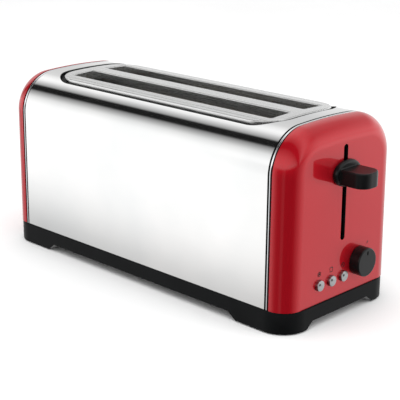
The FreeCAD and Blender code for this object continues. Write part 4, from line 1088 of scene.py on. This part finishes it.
heading = add(studio, "ShaderNodeSeparateXYZ", {
    "Vector": add(studio, "ShaderNodeTexCoord").outputs["Generated"]}).outputs
across = add(studio, "ShaderNodeMath", {0: heading["Y"], 1: -1.0}, operation="MULTIPLY")
roll = add(studio, "ShaderNodeMath", {0: heading["Z"], 1: across}, operation="ARCTAN2")
roll_angle = add(studio, "ShaderNodeMath", {0: roll}, operation="DEGREES")
turn = add(studio, "ShaderNodeMath", {0: heading["Y"], 1: heading["X"]}, operation="ARCTAN2")
compass = add(studio, "ShaderNodeMath", {0: turn}, operation="DEGREES")
corner_dark = add(studio, "ShaderNodeMix", {
    "Factor": graded(heading["Z"], CORNER_HEIGHT), "A": 1.0, "B": graded(compass, NEAR_CORNER)})
# a ramp's colours stop at 1, so the glow is graded at half its strength and doubled
half_glow = graded(heading["Z"], [(at, level / 2) for at, level in GLOW_HEIGHT])
full_glow = add(studio, "ShaderNodeMath", {0: half_glow, 1: 2.0}, operation="MULTIPLY")
glow = add(studio, "ShaderNodeMix", {
    "Factor": graded(compass, GLOW_COMPASS), "A": 1.0, "B": full_glow})
wall = add(studio, "ShaderNodeMath", {
    0: graded(roll_angle, WALL_TO_CEILING), 1: corner_dark}, operation="MULTIPLY")
lit_wall = add(studio, "ShaderNodeMath", {0: wall, 1: glow}, operation="MULTIPLY")
seen = add(studio, "ShaderNodeMath", {0: lit_wall, 1: WALL_STRENGTH}, operation="MULTIPLY")
ray = add(studio, "ShaderNodeLightPath").outputs["Is Glossy Ray"]
set_inputs(studio, studio.nodes["Background"], {
    "Color": add(studio, "ShaderNodeMix", {"Factor": ray, "A": ROOM_LIGHT, "B": seen})})
print(len(studio.nodes), "nodes grade the studio")


# %% Soft lights
def add_softbox(name, spot, target, width, height, watts):
    """A rectangular soft light at a spot, facing a target, for matt surfaces."""
    lamp = bpy.data.lights.new(name, "AREA")
    lamp.shape = "RECTANGLE"
    lamp.size, lamp.size_y, lamp.energy = width, height, watts
    holder = bpy.data.objects.new(name, lamp)
    facing = (Vector(target) - Vector(spot)).to_track_quat("-Z", "Y")
    holder.matrix_world = Matrix.Translation(spot) @ facing.to_matrix().to_4x4()
    holder.visible_glossy = False
    bpy.context.collection.objects.link(holder)
    return holder


add_softbox("key_light", (0.2, -0.5, 1.7), (0, 0, 0.1), 1.6, 1.6, 12)
add_softbox("front_light", (1.3, 0.3, 0.9), (0.17, 0, 0.1), 0.8, 0.8, 3)
print("a white studio with two soft lights")
